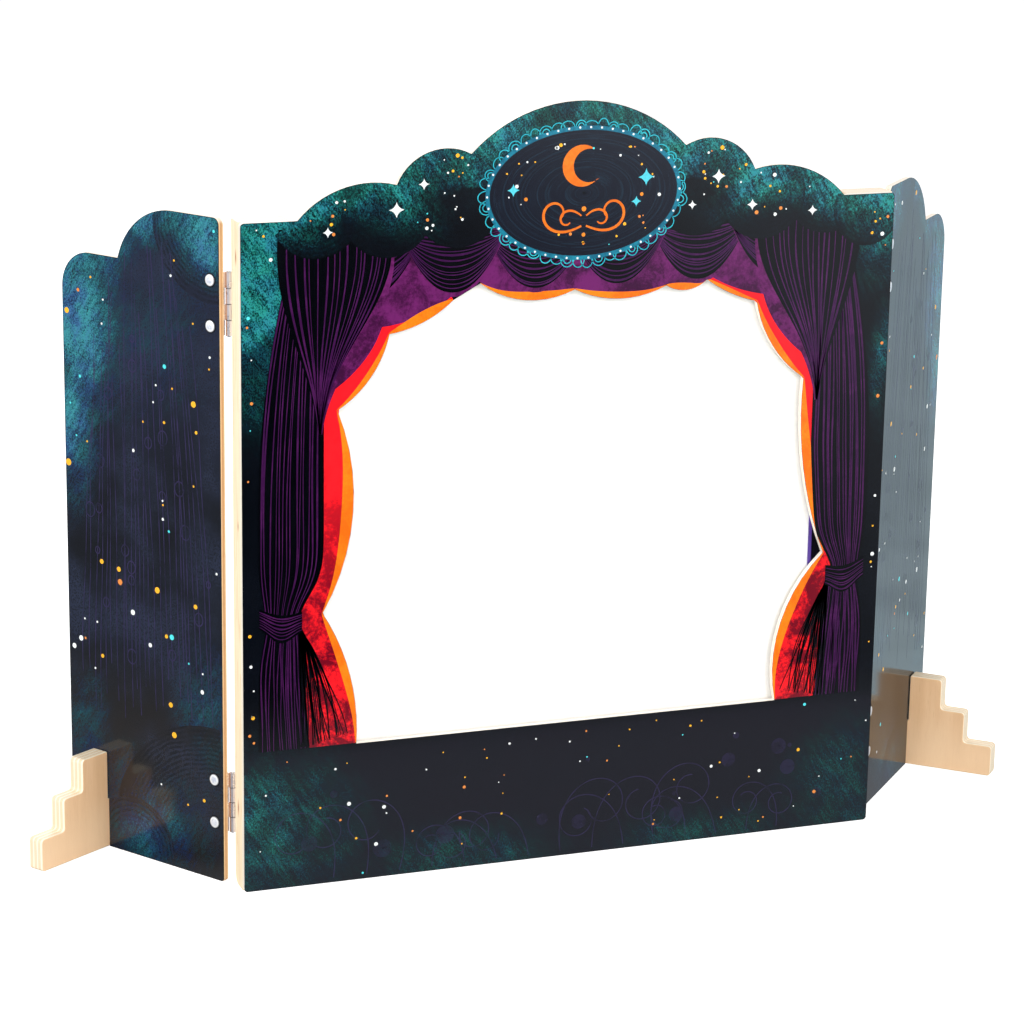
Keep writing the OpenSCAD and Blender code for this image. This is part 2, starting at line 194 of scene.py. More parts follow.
class Finish(Nodes):
    # a material, with its patterns in the piece's own metres
    def __init__(self, name):
        self.material = bpy.data.materials.new(name)
        self.material.use_nodes = True
        super().__init__(self.material.node_tree)
        self.shader = self.tree.nodes["Principled BSDF"]
        self.place = self.add("TexCoord").outputs["Object"]

    def mix(self, share, first, second):
        return self.add("Mix", {0: share, 6: first, 7: second}, data_type="RGBA").outputs[2]

    def shades(self, value, stops):
        node = self.add("ValToRGB", {"Fac": value})
        elements = node.color_ramp.elements
        while len(elements) < len(stops):
            elements.new(0.5)
        for element, (position, colour) in zip(elements, stops):
            element.position = position
            element.color = colour
        return node.outputs["Color"]

    def noise(self, scale, detail=3.0, stretch=(1, 1, 1), vector=None, roughness=0.55, warp=0.0):
        turned = self.add("Mapping", {"Vector": vector or self.place, "Scale": stretch}).outputs[0]
        return self.add("TexNoise", {
            "Vector": turned, "Scale": scale, "Detail": detail, "Roughness": roughness, "Distortion": warp,
        }).outputs[0]

    def turned(self, place, turn):
        # the piece's own frame: across, through and up
        sockets = {"Vector": self.place, "Location": place, "Rotation": (0, 0, turn)}
        return self.add("Mapping", sockets, vector_type="TEXTURE").outputs[0]

    def split(self, vector):
        return self.add("SeparateXYZ", {0: vector}).outputs[:]

    def join(self, x, y, z=0.0):
        return self.add("CombineXYZ", {0: x, 1: y, 2: z}).outputs[0]

    def apart(self, vector, point=(0, 0, 0)):
        return self.add("VectorMath", {0: vector, 1: point}, operation="DISTANCE").outputs["Value"]

    def mark(self, name, output="Fac"):
        return self.add("Attribute", attribute_name=name).outputs[output]

    def stripe(self, value, middle, half, soft):
        # 1 within half of the middle, falling to 0 over soft
        return self.ramp(self.size(self.minus(value, middle)), half, half + soft, 1.0, 0.0)

    def bump(self, height, depth, strength=1.0):
        sockets = {"Height": height, "Distance": depth, "Strength": strength}
        self.feed(self.shader.inputs["Normal"], self.add("Bump", sockets).outputs[0])

    def set(self, **values):
        for name, value in values.items():
            self.feed(self.shader.inputs[name.replace("_", " ")], value)
        return self.material


def layFloor():
    finish = Finish("floorPaper")
    x, y = finish.split(finish.place)[:2]
    seen, mirrored = finish.rays()
    # pale on the right, dim on the left and close in front, dark farther out
    right = finish.times(finish.ramp(x, *room["rightAcross"]), finish.ramp(y, *room["rightBack"]))
    patchy = finish.ramp(finish.noise(9, 2), 0.3, 0.7, *room["right"])
    front = finish.ramp(finish.math("MULTIPLY_ADD", y, 0.2, x), *room["frontAcross"], 0.0, room["front"])
    front = finish.plus(front, finish.ramp(y, *room["farOut"], room["far"], 0.0))
    near = finish.ramp(y, *room["nearOut"], 0.0, room["near"])
    near = finish.times(near, finish.ramp(x, *room["nearAcross"]))
    level = finish.times(right, patchy)
    for other in (front, near, finish.ramp(x, *room["leftAcross"], room["left"], 0.0)):
        level = finish.larger(level, other)
    tint = finish.mix(right, room["frontTint"], room["rightTint"])
    finish.tree.nodes.remove(finish.shader)
    lit = finish.add("BsdfDiffuse", {"Color": (room["floorColour"],) * 3 + (1,)}).outputs[0]
    paper = finish.add("Emission", {"Strength": finish.times(seen, room["floorGlow"])}).outputs[0]
    both = finish.add("AddShader", {0: lit, 1: paper}).outputs[0]
    inGloss = finish.add("Emission", {"Color": tint, "Strength": level}).outputs[0]
    shader = finish.add("MixShader", {0: mirrored, 1: both, 2: inGloss}).outputs[0]
    finish.feed(finish.tree.nodes["Material Output"].inputs["Surface"], shader)
    half = room["floorHalf"]
    mesh = bpy.data.meshes.new("floor")
    corners = [(-half, -half, 0), (half, -half, 0), (half, half, 0), (-half, half, 0)]
    mesh.from_pydata(corners, [], [(0, 1, 2, 3)])
    mesh.materials.append(finish.material)
    floor = show("floor", mesh)
    floor.location.z = cadBox[0][2] - room["floorGap"]


def lightRoom():
    world = bpy.data.worlds.new("room")
    world.use_nodes = True
    bpy.context.scene.world = world
    air = Nodes(world.node_tree)
    background = air.tree.nodes["Background"].inputs
    seen, mirrored = air.rays()
    level = air.ramp(air.larger(seen, mirrored), 0.0, 1.0, room["ambient"], 1.0, smooth=False)
    air.feed(background["Strength"], level)
    air.feed(background["Color"], (1, 1, 1, 1))
    bpy.context.scene.view_settings.view_transform = "Standard"


placeCamera()
placeLamps()
layFloor()
lightRoom()
print("camera and light: done")


# Pieces made of grids
def gridFaces(rows, columns, ring=False, count=1):
    # each cell is one four-sided face; in a ring the last column joins the first; count grids follow each other
    cells = columns if ring else columns - 1
    row, column = (index.ravel() for index in np.mgrid[0:rows - 1, 0:cells])
    following = (column + 1) % columns
    faces = np.stack([
        row * columns + column,
        row * columns + following,
        (row + 1) * columns + following,
        (row + 1) * columns + column,
    ], -1)
    faces = (faces + (np.arange(count) * rows * columns)[:, None, None]).reshape(-1, 4)
    across = np.stack([column, column + 1, column + 1, column], -1) / cells
    along = np.stack([row, row, row + 1, row + 1], -1) / (rows - 1)
    return faces, np.tile(np.stack([across, along], -1), (count, 1, 1))


def weld(mesh):
    # joins points that lie on each other, at poles and seams, then turns every face outwards
    work = bmesh.new()
    work.from_mesh(mesh)
    bmesh.ops.remove_doubles(work, verts=work.verts, dist=0.000001)
    bmesh.ops.recalc_face_normals(work, faces=work.faces)
    work.to_mesh(mesh)
    work.free()


def makePiece(name, points, faces, material, body, slot, facing=None, uv=None, marks=None, smooth=False):
    # points in metres; faces turn over if they look away from the direction that they should face;
    # a mark is a colour where it is called tint, or else a number, for each point or for all
    points = np.asarray(points, float).reshape(-1, 3)
    if facing is not None:
        corners = points[faces[:, :3]]
        normals = np.cross(corners[:, 1] - corners[:, 0], corners[:, 2] - corners[:, 0])
        away = normals @ np.asarray(facing, float) < 0
        faces = np.where(away[:, None], faces[:, ::-1], faces)
        uv = None if uv is None else np.where(away[:, None, None], uv[:, ::-1], uv)
    mesh = bpy.data.meshes.new(name)
    mesh.from_pydata(points.tolist(), [], faces.tolist())
    if uv is not None:
        mesh.uv_layers.new(name="UVMap").data.foreach_set("uv", uv.ravel())
    for mark, values in (marks or {}).items():
        kind, key, width = ("FLOAT_COLOR", "color", 4) if mark == "tint" else ("FLOAT", "value", 1)
        values = np.broadcast_to(np.asarray(values, float).reshape(-1, width), (len(points), width))
        mesh.attributes.new(mark, kind, "POINT").data.foreach_set(key, values.ravel())
    mesh.polygons.foreach_set("use_smooth", np.full(len(mesh.polygons), smooth))
    mesh.materials.append(material)
    mesh.update()
    piece = show(name, mesh)
    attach(piece, body)
    return piece


def thicken(piece, thickness, offset=-1.0):
    wall = piece.modifiers.new("thickness", "SOLIDIFY")
    wall.thickness = thickness
    wall.offset = offset


def dress(nodes, material):
    for node in nodes:
        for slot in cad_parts[node].material_slots:
            slot.material = material


# Where the boards are, in the CAD's own measures
panel = {
    "halfWidth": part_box("front_panel")[1][0],
    "face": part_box("front_panel")[0][1],
    "shoulder": 0.540,
    "corner": 0.003,
    "lobes": (
        (-0.170, 0.489, 0.078), (-0.110, 0.548, 0.043), (0.0, 0.500, 0.124),
        (0.110, 0.548, 0.043), (0.170, 0.489, 0.078),
    ),
    "middle": (0.0, 0.300),
    "apron": 0.116,
    # corners of the opening and how far the arc to the next one swells into it, in millimetres
    "opening": (
        (-181, 116, 9), (-209, 227, 19), (-197, 390, 7.5), (-155, 448, 4.5), (-103, 472, 0),
        (-81, 484, 11), (-2, 475, 9), (76, 474, 6), (111, 477, 2.5),
        (155, 457, 8), (199, 391, 9), (223, 241, 17.5), (184, 116, 0),
    ),
}
wing = {
    "pin": (0.2755, 0.026),
    "fold": {"left": 57.0, "right": 46.5},
    "near": 0.003,
    "far": 0.171,
    "face": 0.0075,  # from the pin's line to the printed face
    "thick": 0.005,
    "flat": 0.540,
    "corner": 0.006,
    "footCorner": 0.003,
    "lobe": (0.052, 0.480, 0.060),
    "end": (0.141, 0.466, 0.030),
    "slot": (0.1296, 0.1454, 0.04165),
}
hinge = {
    "height": 0.270,  # midway between a side's two hinges
    "away": 0.203,  # from there to each of them
    "knuckles": 0.0125,  # from a hinge's middle to its outer joints
    "boltAcross": 0.0124,
    "boltUp": 0.018,
}
film = {"thick": 0.00003, "step": 0.00004, "edge": 0.0005}


def directions(angle):
    return np.stack([np.cos(angle), np.sin(angle)], -1)


def openingOutline(steps=24):
    # each arc leaves its chord by the swell, to the right of the way to the next corner
    corners = np.array(panel["opening"]) / 1000
    share = np.linspace(0, 1, steps, endpoint=False)[:, None]
    stretches = []
    for here, there in zip(corners, np.roll(corners, -1, 0)):
        start, end, swell = here[:2], there[:2], here[2]
        if swell == 0:
            stretches.append(start + (end - start) * share)
            continue
        chord = float(np.linalg.norm(end - start))
        along = (end - start) / chord
        across = np.array([along[1], -along[0]])
        radius = (chord ** 2 / 4 + swell ** 2) / (2 * swell)
        angle = (2 * share - 1) * math.asin(chord / 2 / radius)
        bulge = radius * np.cos(angle) - radius + swell
        stretches.append((start + end) / 2 + along * radius * np.sin(angle) + across * bulge)
    return np.concatenate(stretches)


def openingReach(angle):
    # from the middle of the opening to its edge
    offset = openingOutline() - panel["middle"]
    bearings = np.arctan2(offset[:, 1], offset[:, 0])
    order = np.argsort(bearings)
    return np.interp(angle, bearings[order], np.hypot(*offset[order].T), period=2 * math.pi)


def panelCorners():
    # the way out and the centre of each rounded corner, as seen from the middle
    ways = np.array([(-1, -1), (1, -1), (-1, 1), (1, 1)])
    inner = np.array([panel["halfWidth"], panel["shoulder"] / 2]) - panel["corner"]
    return ways, ways * inner + (0, panel["shoulder"] / 2) - np.array(panel["middle"])


def wayOut(way, centre, radius):
    # how far along each ray from the middle it leaves a circle, 0 where it misses
    ahead = way @ centre
    inside = ahead ** 2 - centre @ centre + radius ** 2
    return np.where(inside > 0, ahead + np.sqrt(np.maximum(inside, 0)), 0)


def outerReach(angle):
    # the farthest crossing of a ray from the middle with the board's rectangle, its corners and its lobes
    way = directions(angle)
    rise = np.where(way[..., 1] > 0, panel["shoulder"] - panel["middle"][1], panel["middle"][1])
    reach = (np.stack([panel["halfWidth"] + 0 * rise, rise], -1) / np.maximum(np.abs(way), 1e-9)).min(-1)
    for sign, centre in zip(*panelCorners()):
        out = wayOut(way, centre, panel["corner"])
        beyond = np.all((way * out[..., None] - centre) * sign > 0, axis=-1)
        reach = np.where(beyond, np.minimum(reach, out), reach)
    for x, z, radius in panel["lobes"]:
        reach = np.maximum(reach, wayOut(way, np.array([x, z]) - panel["middle"], radius))
    return reach


def panelDepth(flat):
    # how deep a point lies inside the board's outline: in the rectangle or in one of the lobes
    x, z = flat[..., 0], flat[..., 1]
    corner, half = panel["corner"], panel["shoulder"] / 2
    depth = np.minimum(np.minimum(panel["halfWidth"] - np.abs(x), z), panel["shoulder"] - z)
    past = np.stack([np.abs(x) - panel["halfWidth"] + corner, np.abs(z - half) - half + corner], -1)
    depth = np.where(np.all(past > 0, axis=-1), corner - np.hypot(past[..., 0], past[..., 1]), depth)
    for lobeX, lobeZ, radius in panel["lobes"]:
        depth = np.maximum(depth, radius - np.hypot(x - lobeX, z - lobeZ))
    return depth


def cornerDrop(radius, short, inset):
    # how far a rounded corner, drawn in by the inset, falls away that much short of its end
    return radius - np.sqrt(np.maximum((radius - inset) ** 2 - short ** 2, 0))


def wingTop(across, inset=0.0):
    # the rounded corner, the straight shoulder, the large lobe and the small end lobe, drawn in by the inset
    x, z, radius = wing["lobe"]
    rise = (radius - inset) ** 2 - (across - x) ** 2
    lobe = np.where(rise > 0, z + np.sqrt(np.maximum(rise, 0)), 0)
    endX, endZ, endRadius = wing["end"]
    end = endZ + endRadius - cornerDrop(endRadius, np.maximum(across - endX, 0), inset)
    short = np.maximum(wing["near"] + wing["corner"] - across, 0)
    shoulder = wing["flat"] - cornerDrop(wing["corner"], short, inset)
    return np.where(across < x, shoulder, np.maximum(lobe, end))


def wingFoot(across, inset=0.0):
    # the lower edge and its two rounded corners
    radius = wing["footCorner"]
    short = np.maximum(radius - np.minimum(across - wing["near"], wing["far"] - across), 0)
    return cornerDrop(radius, short, inset)


def clearOf(board, flat):
    # inside the printed part of the board
    edge = film["edge"]
    if board == "front":
        return panelDepth(flat) > edge
    u, z = flat[..., 0], flat[..., 1]
    slotNear, slotFar, slotTop = wing["slot"]
    slot = (u > slotNear - edge) & (u < slotFar + edge) & (z < slotTop + edge)
    beside = (u > wing["near"] + edge) & (u < wing["far"] - edge)
    return beside & (z > wingFoot(u, edge)) & (z < wingTop(u, edge)) & ~slot


def wingTurn(side):
    turn = math.radians(wing["fold"][side])
    return turn if side == "right" else math.pi - turn


def wingFacing(side):
    turn = math.radians(wing["fold"][side])
    return (mirror[side] * math.sin(turn), -math.cos(turn), 0)


def layFilm(name, flat, layer, faces, material, board, marks, uv=None):
    # a printed layer on a board: across and up on the front; on a wing across runs from the pin's line
    proud = film["thick"] + layer * film["step"] + 0 * flat[..., 0]
    if board == "front":
        facing, body = (0, -1, 0), "stage"
        x, y = flat[..., 0], panel["face"] - proud
    else:
        facing, body = wingFacing(board), board + "_wing"
        sine, cosine = abs(facing[0]), -facing[1]
        across, out = flat[..., 0], wing["face"] + proud
        x = mirror[board] * (wing["pin"][0] + across * cosine + out * sine)
        y = wing["pin"][1] + across * sine - out * cosine
    points = np.stack([x, y, flat[..., 1]], -1)
    piece = makePiece(name, points, faces, material, body, "printed_ply", facing, uv, marks)
    thicken(piece, film["thick"])


def printFilm(name, flat, layer, material, board="front", ring=False, marks=None):
    # a thin printed shape: a grid of points on the board's flat face, or several such grids
    flat = flat if flat.ndim == 4 else flat[None]
    faces, uv = gridFaces(*flat.shape[1:3], ring, len(flat))
    layFilm(name, flat, layer, faces, material, board, marks, uv)


def printDots(name, outlines, tints, layer, material, board="front"):
    # flat outlines of one colour each, or all of one colour
    count, corners = outlines.shape[:2]
    faces = np.arange(count * corners).reshape(count, corners)
    tints = np.repeat(np.broadcast_to(tints, (count, 4)), corners, 0)
    layFilm(name, outlines, layer, faces, material, board, {"tint": tints})


# Boards, stiles and feet
ply = {
    "skin": (0.00003, 0.00006),  # how deep the print and the veneer behind reach in at the edges
    "core": (0.0008, 0.0002),  # half the middle ply, and its soft edge
    "glue": (0.0010, 0.00022),  # the glue lines' depth, and their softness
}
footPly = {"middle": 0.1375, "half": 0.0075, "plies": 7}
knots = ((0.0105, 0.512, 0.0030), (0.0140, 0.066, 0.0034), (0.0090, 0.300, 0.0020))  # depth, height and size
sawnEnd = {"heart": (0.262, -0.030, 0), "rings": 480.0, "height": (0.5393, 0.5398)}


def varnish(finish, colour, roughness=0.12):
    finish.bump(finish.noise(260, 2, (1.0, 1.0, 0.06)), 0.00002, 0.35)
    return finish.set(Base_Color=colour, Roughness=roughness, IOR=1.5)


def wingFrame(finish, side):
    # across from the pin along the wing or foot, through it, and up
    return finish.turned((mirror[side] * wing["pin"][0], wing["pin"][1], 0), wingTurn(side))


def boardFinish(name, place, turn, printedSide, pale, dark):
    # printed face, plain veneer at the back and the three plies at the edges
    finish = Finish(name)
    own = finish.turned(place, turn)
    half, (thin, thick) = wing["thick"] / 2, ply["skin"]
    out = finish.times(finish.split(own)[1], printedSide)
    printed = finish.ramp(out, half - thick, half - thin, smooth=False)
    back = finish.ramp(out, -half + thin, -half + thick, 1.0, 0.0, smooth=False)
    fibres = finish.noise(420, 4, (1.0, 1.0, 0.12), own)
    flecks = finish.noise(900, 3, (0.25, 1.0, 1.0), own)
    core = finish.stripe(out, 0.0, *ply["core"])
    edge = finish.mix(core, finish.mix(fibres, *pale), finish.mix(flecks, *dark))
    depth, soft = ply["glue"]
    glue = finish.stripe(finish.size(out), depth, 0.0, soft)
    edge = finish.mix(finish.times(glue, 0.6), edge, paint(150, 105, 66))
    # painted highlight: edges that face up are painted paler, as if brightly lit from above
    facing = finish.split(finish.add("NewGeometry").outputs["Normal"])[2]
    edge = finish.mix(finish.ramp(facing, 0.2, 0.8, 0.0, 0.8), edge, paint(255, 248, 236))
    stops = [(0.30, paint(224, 190, 146)), (0.55, paint(236, 208, 168)), (0.75, paint(243, 220, 184))]
    veneer = finish.shades(finish.noise(60, 6, (0.10, 1.0, 1.6), own, warp=0.6), stops)
    pores = finish.noise(1100, 3, (0.035, 1.0, 1.0), own, roughness=0.7)
    veneer = finish.mix(finish.ramp(pores, 0.50, 0.68, 0.0, 0.5), veneer, paint(200, 160, 114))
    colour = finish.mix(printed, finish.mix(back, edge, veneer), paint(10, 13, 20))
    rough = finish.ramp(printed, 0.0, 1.0, 0.55, 0.14, smooth=False)
    finish.bump(finish.noise(300, 3, (0.15, 1.0, 1.0), own), 0.00003, 0.4)
    return finish.set(Base_Color=colour, Roughness=rough, IOR=1.5)


def pineFinish():
    finish = Finish("pine")
    x, y, z = finish.split(finish.place)
    rings = finish.noise(95, 2, (1.0, 1.0, 0.035), warp=0.35)
    late = finish.ramp(finish.math("FRACT", finish.times(rings, 9.0)), 0.55, 0.98, 0.0, 0.7)
    fibres = finish.noise(700, 3, (1.0, 1.0, 0.05))
    colour = finish.mix(late, paint(253, 241, 210), paint(238, 208, 164))
    colour = finish.mix(finish.times(fibres, 0.3), colour, paint(244, 220, 180))
    squash = 0.35  # a knot's width to its length; its heart is dark
    flat = finish.join(0.0, y, finish.times(z, squash))
    for depth, height, size in knots:
        near = finish.apart(flat, (0, depth, height * squash))
        colour = finish.mix(finish.ramp(near, size * 0.3, size, 0.65, 0.0), colour, paint(206, 132, 66))
        colour = finish.mix(finish.ramp(near, size * 0.1, size * 0.5, 0.7, 0.0), colour, paint(150, 82, 40))
    # growth rings on the sawn ends, round a heart in front of the batten
    heart = finish.apart(finish.join(finish.size(x), y), sawnEnd["heart"])
    growth = finish.math("MULTIPLY_ADD", finish.noise(60, 2), 0.0016, heart)
    growth = finish.math("FRACT", finish.times(growth, sawnEnd["rings"]))
    endGrain = finish.mix(finish.ramp(growth, 0.3, 0.95), paint(255, 242, 224), paint(240, 208, 174))
    colour = finish.mix(finish.ramp(z, *sawnEnd["height"]), colour, endGrain)
    finish.bump(fibres, 0.00004, 0.5)
    return finish.set(Base_Color=colour, Roughness=0.5)


def footFinish(side):
    # birch veneer on the two faces, and the plies one behind the other at the steps
    finish = Finish(side + "FootBirch")
    own = wingFrame(finish, side)
    half, plies = footPly["half"], footPly["plies"]
    across = finish.minus(finish.split(own)[0], footPly["middle"])
    face = finish.ramp(finish.size(across), half - 0.0004, half - 0.00015)
    layer = finish.times(finish.plus(across, half), plies / (2 * half))
    line = finish.size(finish.minus(finish.math("FRACT", layer), 0.5))
    even = finish.math("MODULO", finish.math("FLOOR", layer), 2.0)
    fibres = finish.noise(650, 4, (1.0, 0.14, 0.14), own)
    light = finish.mix(fibres, paint(250, 234, 204), paint(255, 246, 226))
    dark = finish.mix(fibres, paint(234, 204, 162), paint(246, 222, 186))
    edge = finish.mix(finish.times(even, 0.85), light, dark)
    edge = finish.mix(finish.times(finish.ramp(line, 0.42, 0.49), 0.7), edge, paint(168, 120, 78))
    stops = [(0.28, paint(230, 186, 140)), (0.52, paint(240, 198, 154)), (0.78, paint(247, 210, 168))]
    veneer = finish.shades(finish.noise(60, 6, (1.0, 1.2, 0.14), own, warp=0.35), stops)
    pores = finish.noise(1500, 2, (1.0, 1.0, 0.06), own)
    veneer = finish.mix(finish.ramp(pores, 0.56, 0.70, 0.0, 0.25), veneer, paint(206, 158, 114))
    # painted light: the veneer is painted paler over the lowest 60 mm, as if lit from the white floor
    low = finish.ramp(finish.split(own)[2], 0.010, 0.060, 0.5, 0.0)
    veneer = finish.mix(low, veneer, paint(255, 222, 182))
    finish.bump(pores, 0.00004, 0.5)
    return finish.set(Base_Color=finish.mix(face, edge, veneer), Roughness=0.42)


def steelFinish():
    finish = Finish("brightSteel")
    smudge = finish.noise(120, 3)
    colour = finish.mix(smudge, paint(214, 216, 220), paint(228, 230, 234))
    finish.bump(finish.noise(900, 3), 0.00001, 0.5)
    return finish.set(Base_Color=colour, Metallic=1.0, Roughness=finish.ramp(smudge, 0.3, 0.7, 0.176, 0.286))


def fromHinge(finish, up):
    # height above the middle of the nearer hinge, below it negative
    return finish.minus(finish.size(finish.minus(up, hinge["height"])), hinge["away"])


def leafFinish():
    # brushed nickel with a dark line where two knuckles meet, and a painted reflection of the brown wood on the
    # barrel's two sides
    finish = Finish("nickelKnuckles")
    x, y, z = finish.split(finish.place)
    aside = finish.minus(finish.size(x), wing["pin"][0])
    far = finish.apart(finish.join(aside, finish.minus(y, wing["pin"][1])))
    up = finish.size(fromHinge(finish, z))
    joints = finish.plus(*(finish.stripe(up, height, 0.0002, 0.0002) for height in (0.0, hinge["knuckles"])))
    dark = finish.times(joints, finish.ramp(far, 0.0026, 0.0028, 0.85, 0.0))
    smudge = finish.noise(120, 3)
    colour = finish.mix(smudge, paint(224, 218, 226), paint(240, 236, 242))
    # painted reflection: the barrel's two sides are painted brown, as the wood beside them would mirror there
    aside = finish.ramp(finish.math("DIVIDE", finish.size(aside), far), 0.60, 0.90)
    paintedWoodReflection = finish.times(aside, finish.ramp(far, 0.0027, 0.0030, 0.75, 0.0))
    colour = finish.mix(paintedWoodReflection, colour, paint(186, 140, 100))
    colour = finish.mix(dark, colour, paint(40, 34, 34))
    finish.bump(finish.noise(900, 3, (1.0, 1.0, 0.2)), 0.00001, 0.5)
    return finish.set(Base_Color=colour, Metallic=0.82, Roughness=finish.ramp(smudge, 0.3, 0.7, 0.26, 0.33))


def boltFinish(side):
    # pale polished heads with a painted shade line at the rim, where the head's edge meets the board
    finish = Finish(side + "BoltNickel")
    across, _, up = finish.split(wingFrame(finish, side))
    up = finish.minus(finish.size(fromHinge(finish, up)), hinge["boltUp"])
    far = finish.apart(finish.join(finish.minus(across, hinge["boltAcross"]), up))
    # painted shade: a dark line round the head's edge
    rim = finish.stripe(far, 0.00465, 0.00022, 0.0002)
    smudge = finish.noise(420, 4, roughness=0.7)
    colour = finish.mix(finish.ramp(smudge, 0.4, 0.6), paint(206, 212, 226), paint(242, 244, 248))
    colour = finish.mix(finish.ramp(far, 0.0022, 0.0032, 0.0, 0.8), colour, paint(248, 249, 250))
    colour = finish.mix(finish.times(rim, 0.8), colour, paint(60, 62, 70))
    finish.bump(finish.noise(1400, 2), 0.00001, 0.4)
    return finish.set(Base_Color=colour, Metallic=0.3, Roughness=0.34)


# painted light: the front board's ply edges are painted near white, a brightly lit copy of the warm ply that
# the wings' edges show
litCream = ((paint(250, 243, 230), paint(255, 251, 244)), (paint(242, 226, 200), paint(249, 236, 214)))
warm = ((paint(238, 200, 152), paint(250, 220, 178)), (paint(204, 150, 102), paint(226, 176, 126)))
dress(["front_panel"], boardFinish("frontPly", (0, 0, 0), 0.0, -1.0, *litCream))
for side in sides:
    middle = wing["face"] - wing["thick"] / 2
    ahead = wingFacing(side)
    place = (mirror[side] * wing["pin"][0] + middle * ahead[0], wing["pin"][1] + middle * ahead[1], 0)
    dress([side + "_wing"], boardFinish(side + "WingPly", place, wingTurn(side), -mirror[side], *warm))
    dress([side + "_foot"], footFinish(side))
    dress([side + "_top_bolts", side + "_bottom_bolts"], boltFinish(side))
dress([side + "_stile" for side in sides], pineFinish())
hinges = [side + "_" + end for side in sides for end in ("top", "bottom")]
dress([name + part for name in hinges for part in ("_fixed_leaf", "_wing_leaf")], leafFinish())
dress([name + part for name in hinges for part in ("_pin", "_screws", "_nuts")], steelFinish())
print("wood and metal: done")


# Inks
night = {
    # the ground's tones by height, its paler patches, and the teal from thin to thick
    "front": (
        ((0.108, paint(17, 16, 26)), (0.118, paint(5, 8, 14))),
        paint(13, 17, 26),
        (paint(9, 34, 40), paint(14, 70, 74), paint(24, 104, 108), paint(40, 138, 142)),
    ),
    "left": (
        (
            (0.100, paint(30, 27, 26)), (0.180, paint(5, 9, 17)),
            (0.300, paint(6, 9, 18)), (0.440, paint(22, 27, 44)),
        ),
        paint(42, 50, 74),
        (paint(18, 46, 66), paint(28, 80, 104), paint(40, 100, 124), paint(52, 120, 144)),
    ),
    "right": (
        ((0.100, paint(5, 5, 6)), (0.300, paint(8, 12, 20)), (0.440, paint(22, 28, 42))),
        paint(20, 26, 38),
        (paint(14, 36, 52), paint(24, 70, 92), paint(36, 94, 116), paint(50, 118, 140)),
    ),
    "top": 0.640,
    "line": paint(48, 40, 78),
    "arc": paint(4, 6, 10),
}


def nightFinish(name, board):
    # dark ground with grainy teal where the glow mark is high; the line mark adds faint violet; the ring mark
    # counts dark arcs as strong as the arcs mark says
    finish = Finish(name)
    own = finish.place if board == "front" else wingFrame(finish, board)
    up = finish.split(own)[2]
    glow, line, ring, arcs = (finish.mark(mark) for mark in ("glow", "line", "ring", "arcs"))
    slanted = finish.add("Mapping", {"Vector": own, "Rotation": (0, 0.6, 0)}).outputs[0]
    grain = finish.noise(820, 4, (1.0, 1.0, 0.8), own, roughness=0.75)
    scratch = finish.noise(300, 3, (1.0, 1.0, 0.2), slanted, roughness=0.7)
    cloud = finish.noise(19, 4, vector=own, warp=0.8)
    spread = finish.times(glow, finish.ramp(cloud, 0.28, 0.68, 0.55, 1.15))
    spray = finish.math("MULTIPLY_ADD", grain, 4.6, finish.math("MULTIPLY_ADD", scratch, 2.4, -3.5))
    amount = finish.math("MULTIPLY_ADD", spray, spread, spread)
    tones, patch, teals = night[board]
    stops = [(height / night["top"], tone) for height, tone in tones]
    ground = finish.shades(finish.math("DIVIDE", up, night["top"]), stops)
    haze = finish.ramp(finish.noise(13, 3, vector=own), 0.35, 0.7)
    ground = finish.mix(finish.times(haze, finish.ramp(grain, 0.35, 0.62, 0.1, 0.75)), ground, patch)
    teal = finish.shades(amount, list(zip((0.34, 0.62, 0.86, 1.0), teals)))
    # its hue wanders between green and blue
    wander = finish.noise(500, 3, vector=own, roughness=0.7)
    wander = finish.math("MULTIPLY_ADD", wander, 0.6, finish.noise(45, 3, vector=own))
    hue = finish.ramp(wander, 0.60, 1.00, 0.455, 0.54)
    teal = finish.add("HueSaturation", {"Color": teal, "Hue": hue}).outputs[0]
    ink = finish.mix(finish.ramp(amount, 0.05, 0.36), ground, teal)
    ring = finish.math("MULTIPLY_ADD", finish.noise(22, 4, vector=own, roughness=0.65), 2.6, ring)
    arc = finish.stripe(finish.math("FRACT", ring), 0.5, 0.10, 0.30)
    arc = finish.times(finish.times(arc, finish.ramp(scratch, 0.35, 0.60, 0.2, 1.0)), arcs)
    ink = finish.mix(arc, ink, night["arc"])
    patchy = finish.ramp(finish.noise(60, 3, vector=own), 0.3, 0.6, 0.25, 1.0)
    return varnish(finish, finish.mix(finish.times(line, patchy), ink, night["line"]))


def clothFinish(name, ground, light):
    # a printed cloth's dark side, a little lighter in soft patches
    finish = Finish(name)
    soft = finish.ramp(finish.noise(30, 3, (1.0, 1.0, 0.4)), 0.4, 0.75)
    return varnish(finish, finish.mix(soft, ground, light))


def liningFinish(name, light, dark, low=0.40, high=0.70, fade=None):
    # watercolour blotches; fade = (from height, to height) lets the dark tone take over downwards
    finish = Finish(name)
    blot = finish.noise(34, 6, warp=0.7, roughness=0.68)
    speck = finish.minus(finish.noise(360, 4, roughness=0.7), 0.32)
    share = finish.ramp(finish.plus(blot, finish.times(speck, 0.42)), low, high)
    if fade:
        up = finish.split(finish.place)[2]
        share = finish.times(share, finish.ramp(up, *fade, 0.15, 1.0))
    return varnish(finish, finish.mix(share, light, dark))


def tintFinish(name, roughness=0.16):
    # each point's own colour, faintly worn
    finish = Finish(name)
    worn = finish.ramp(finish.noise(700, 2), 0.35, 0.75, 0.0, 0.16)
    return varnish(finish, finish.mix(worn, finish.mark("tint", "Color"), paint(20, 24, 34)), roughness)


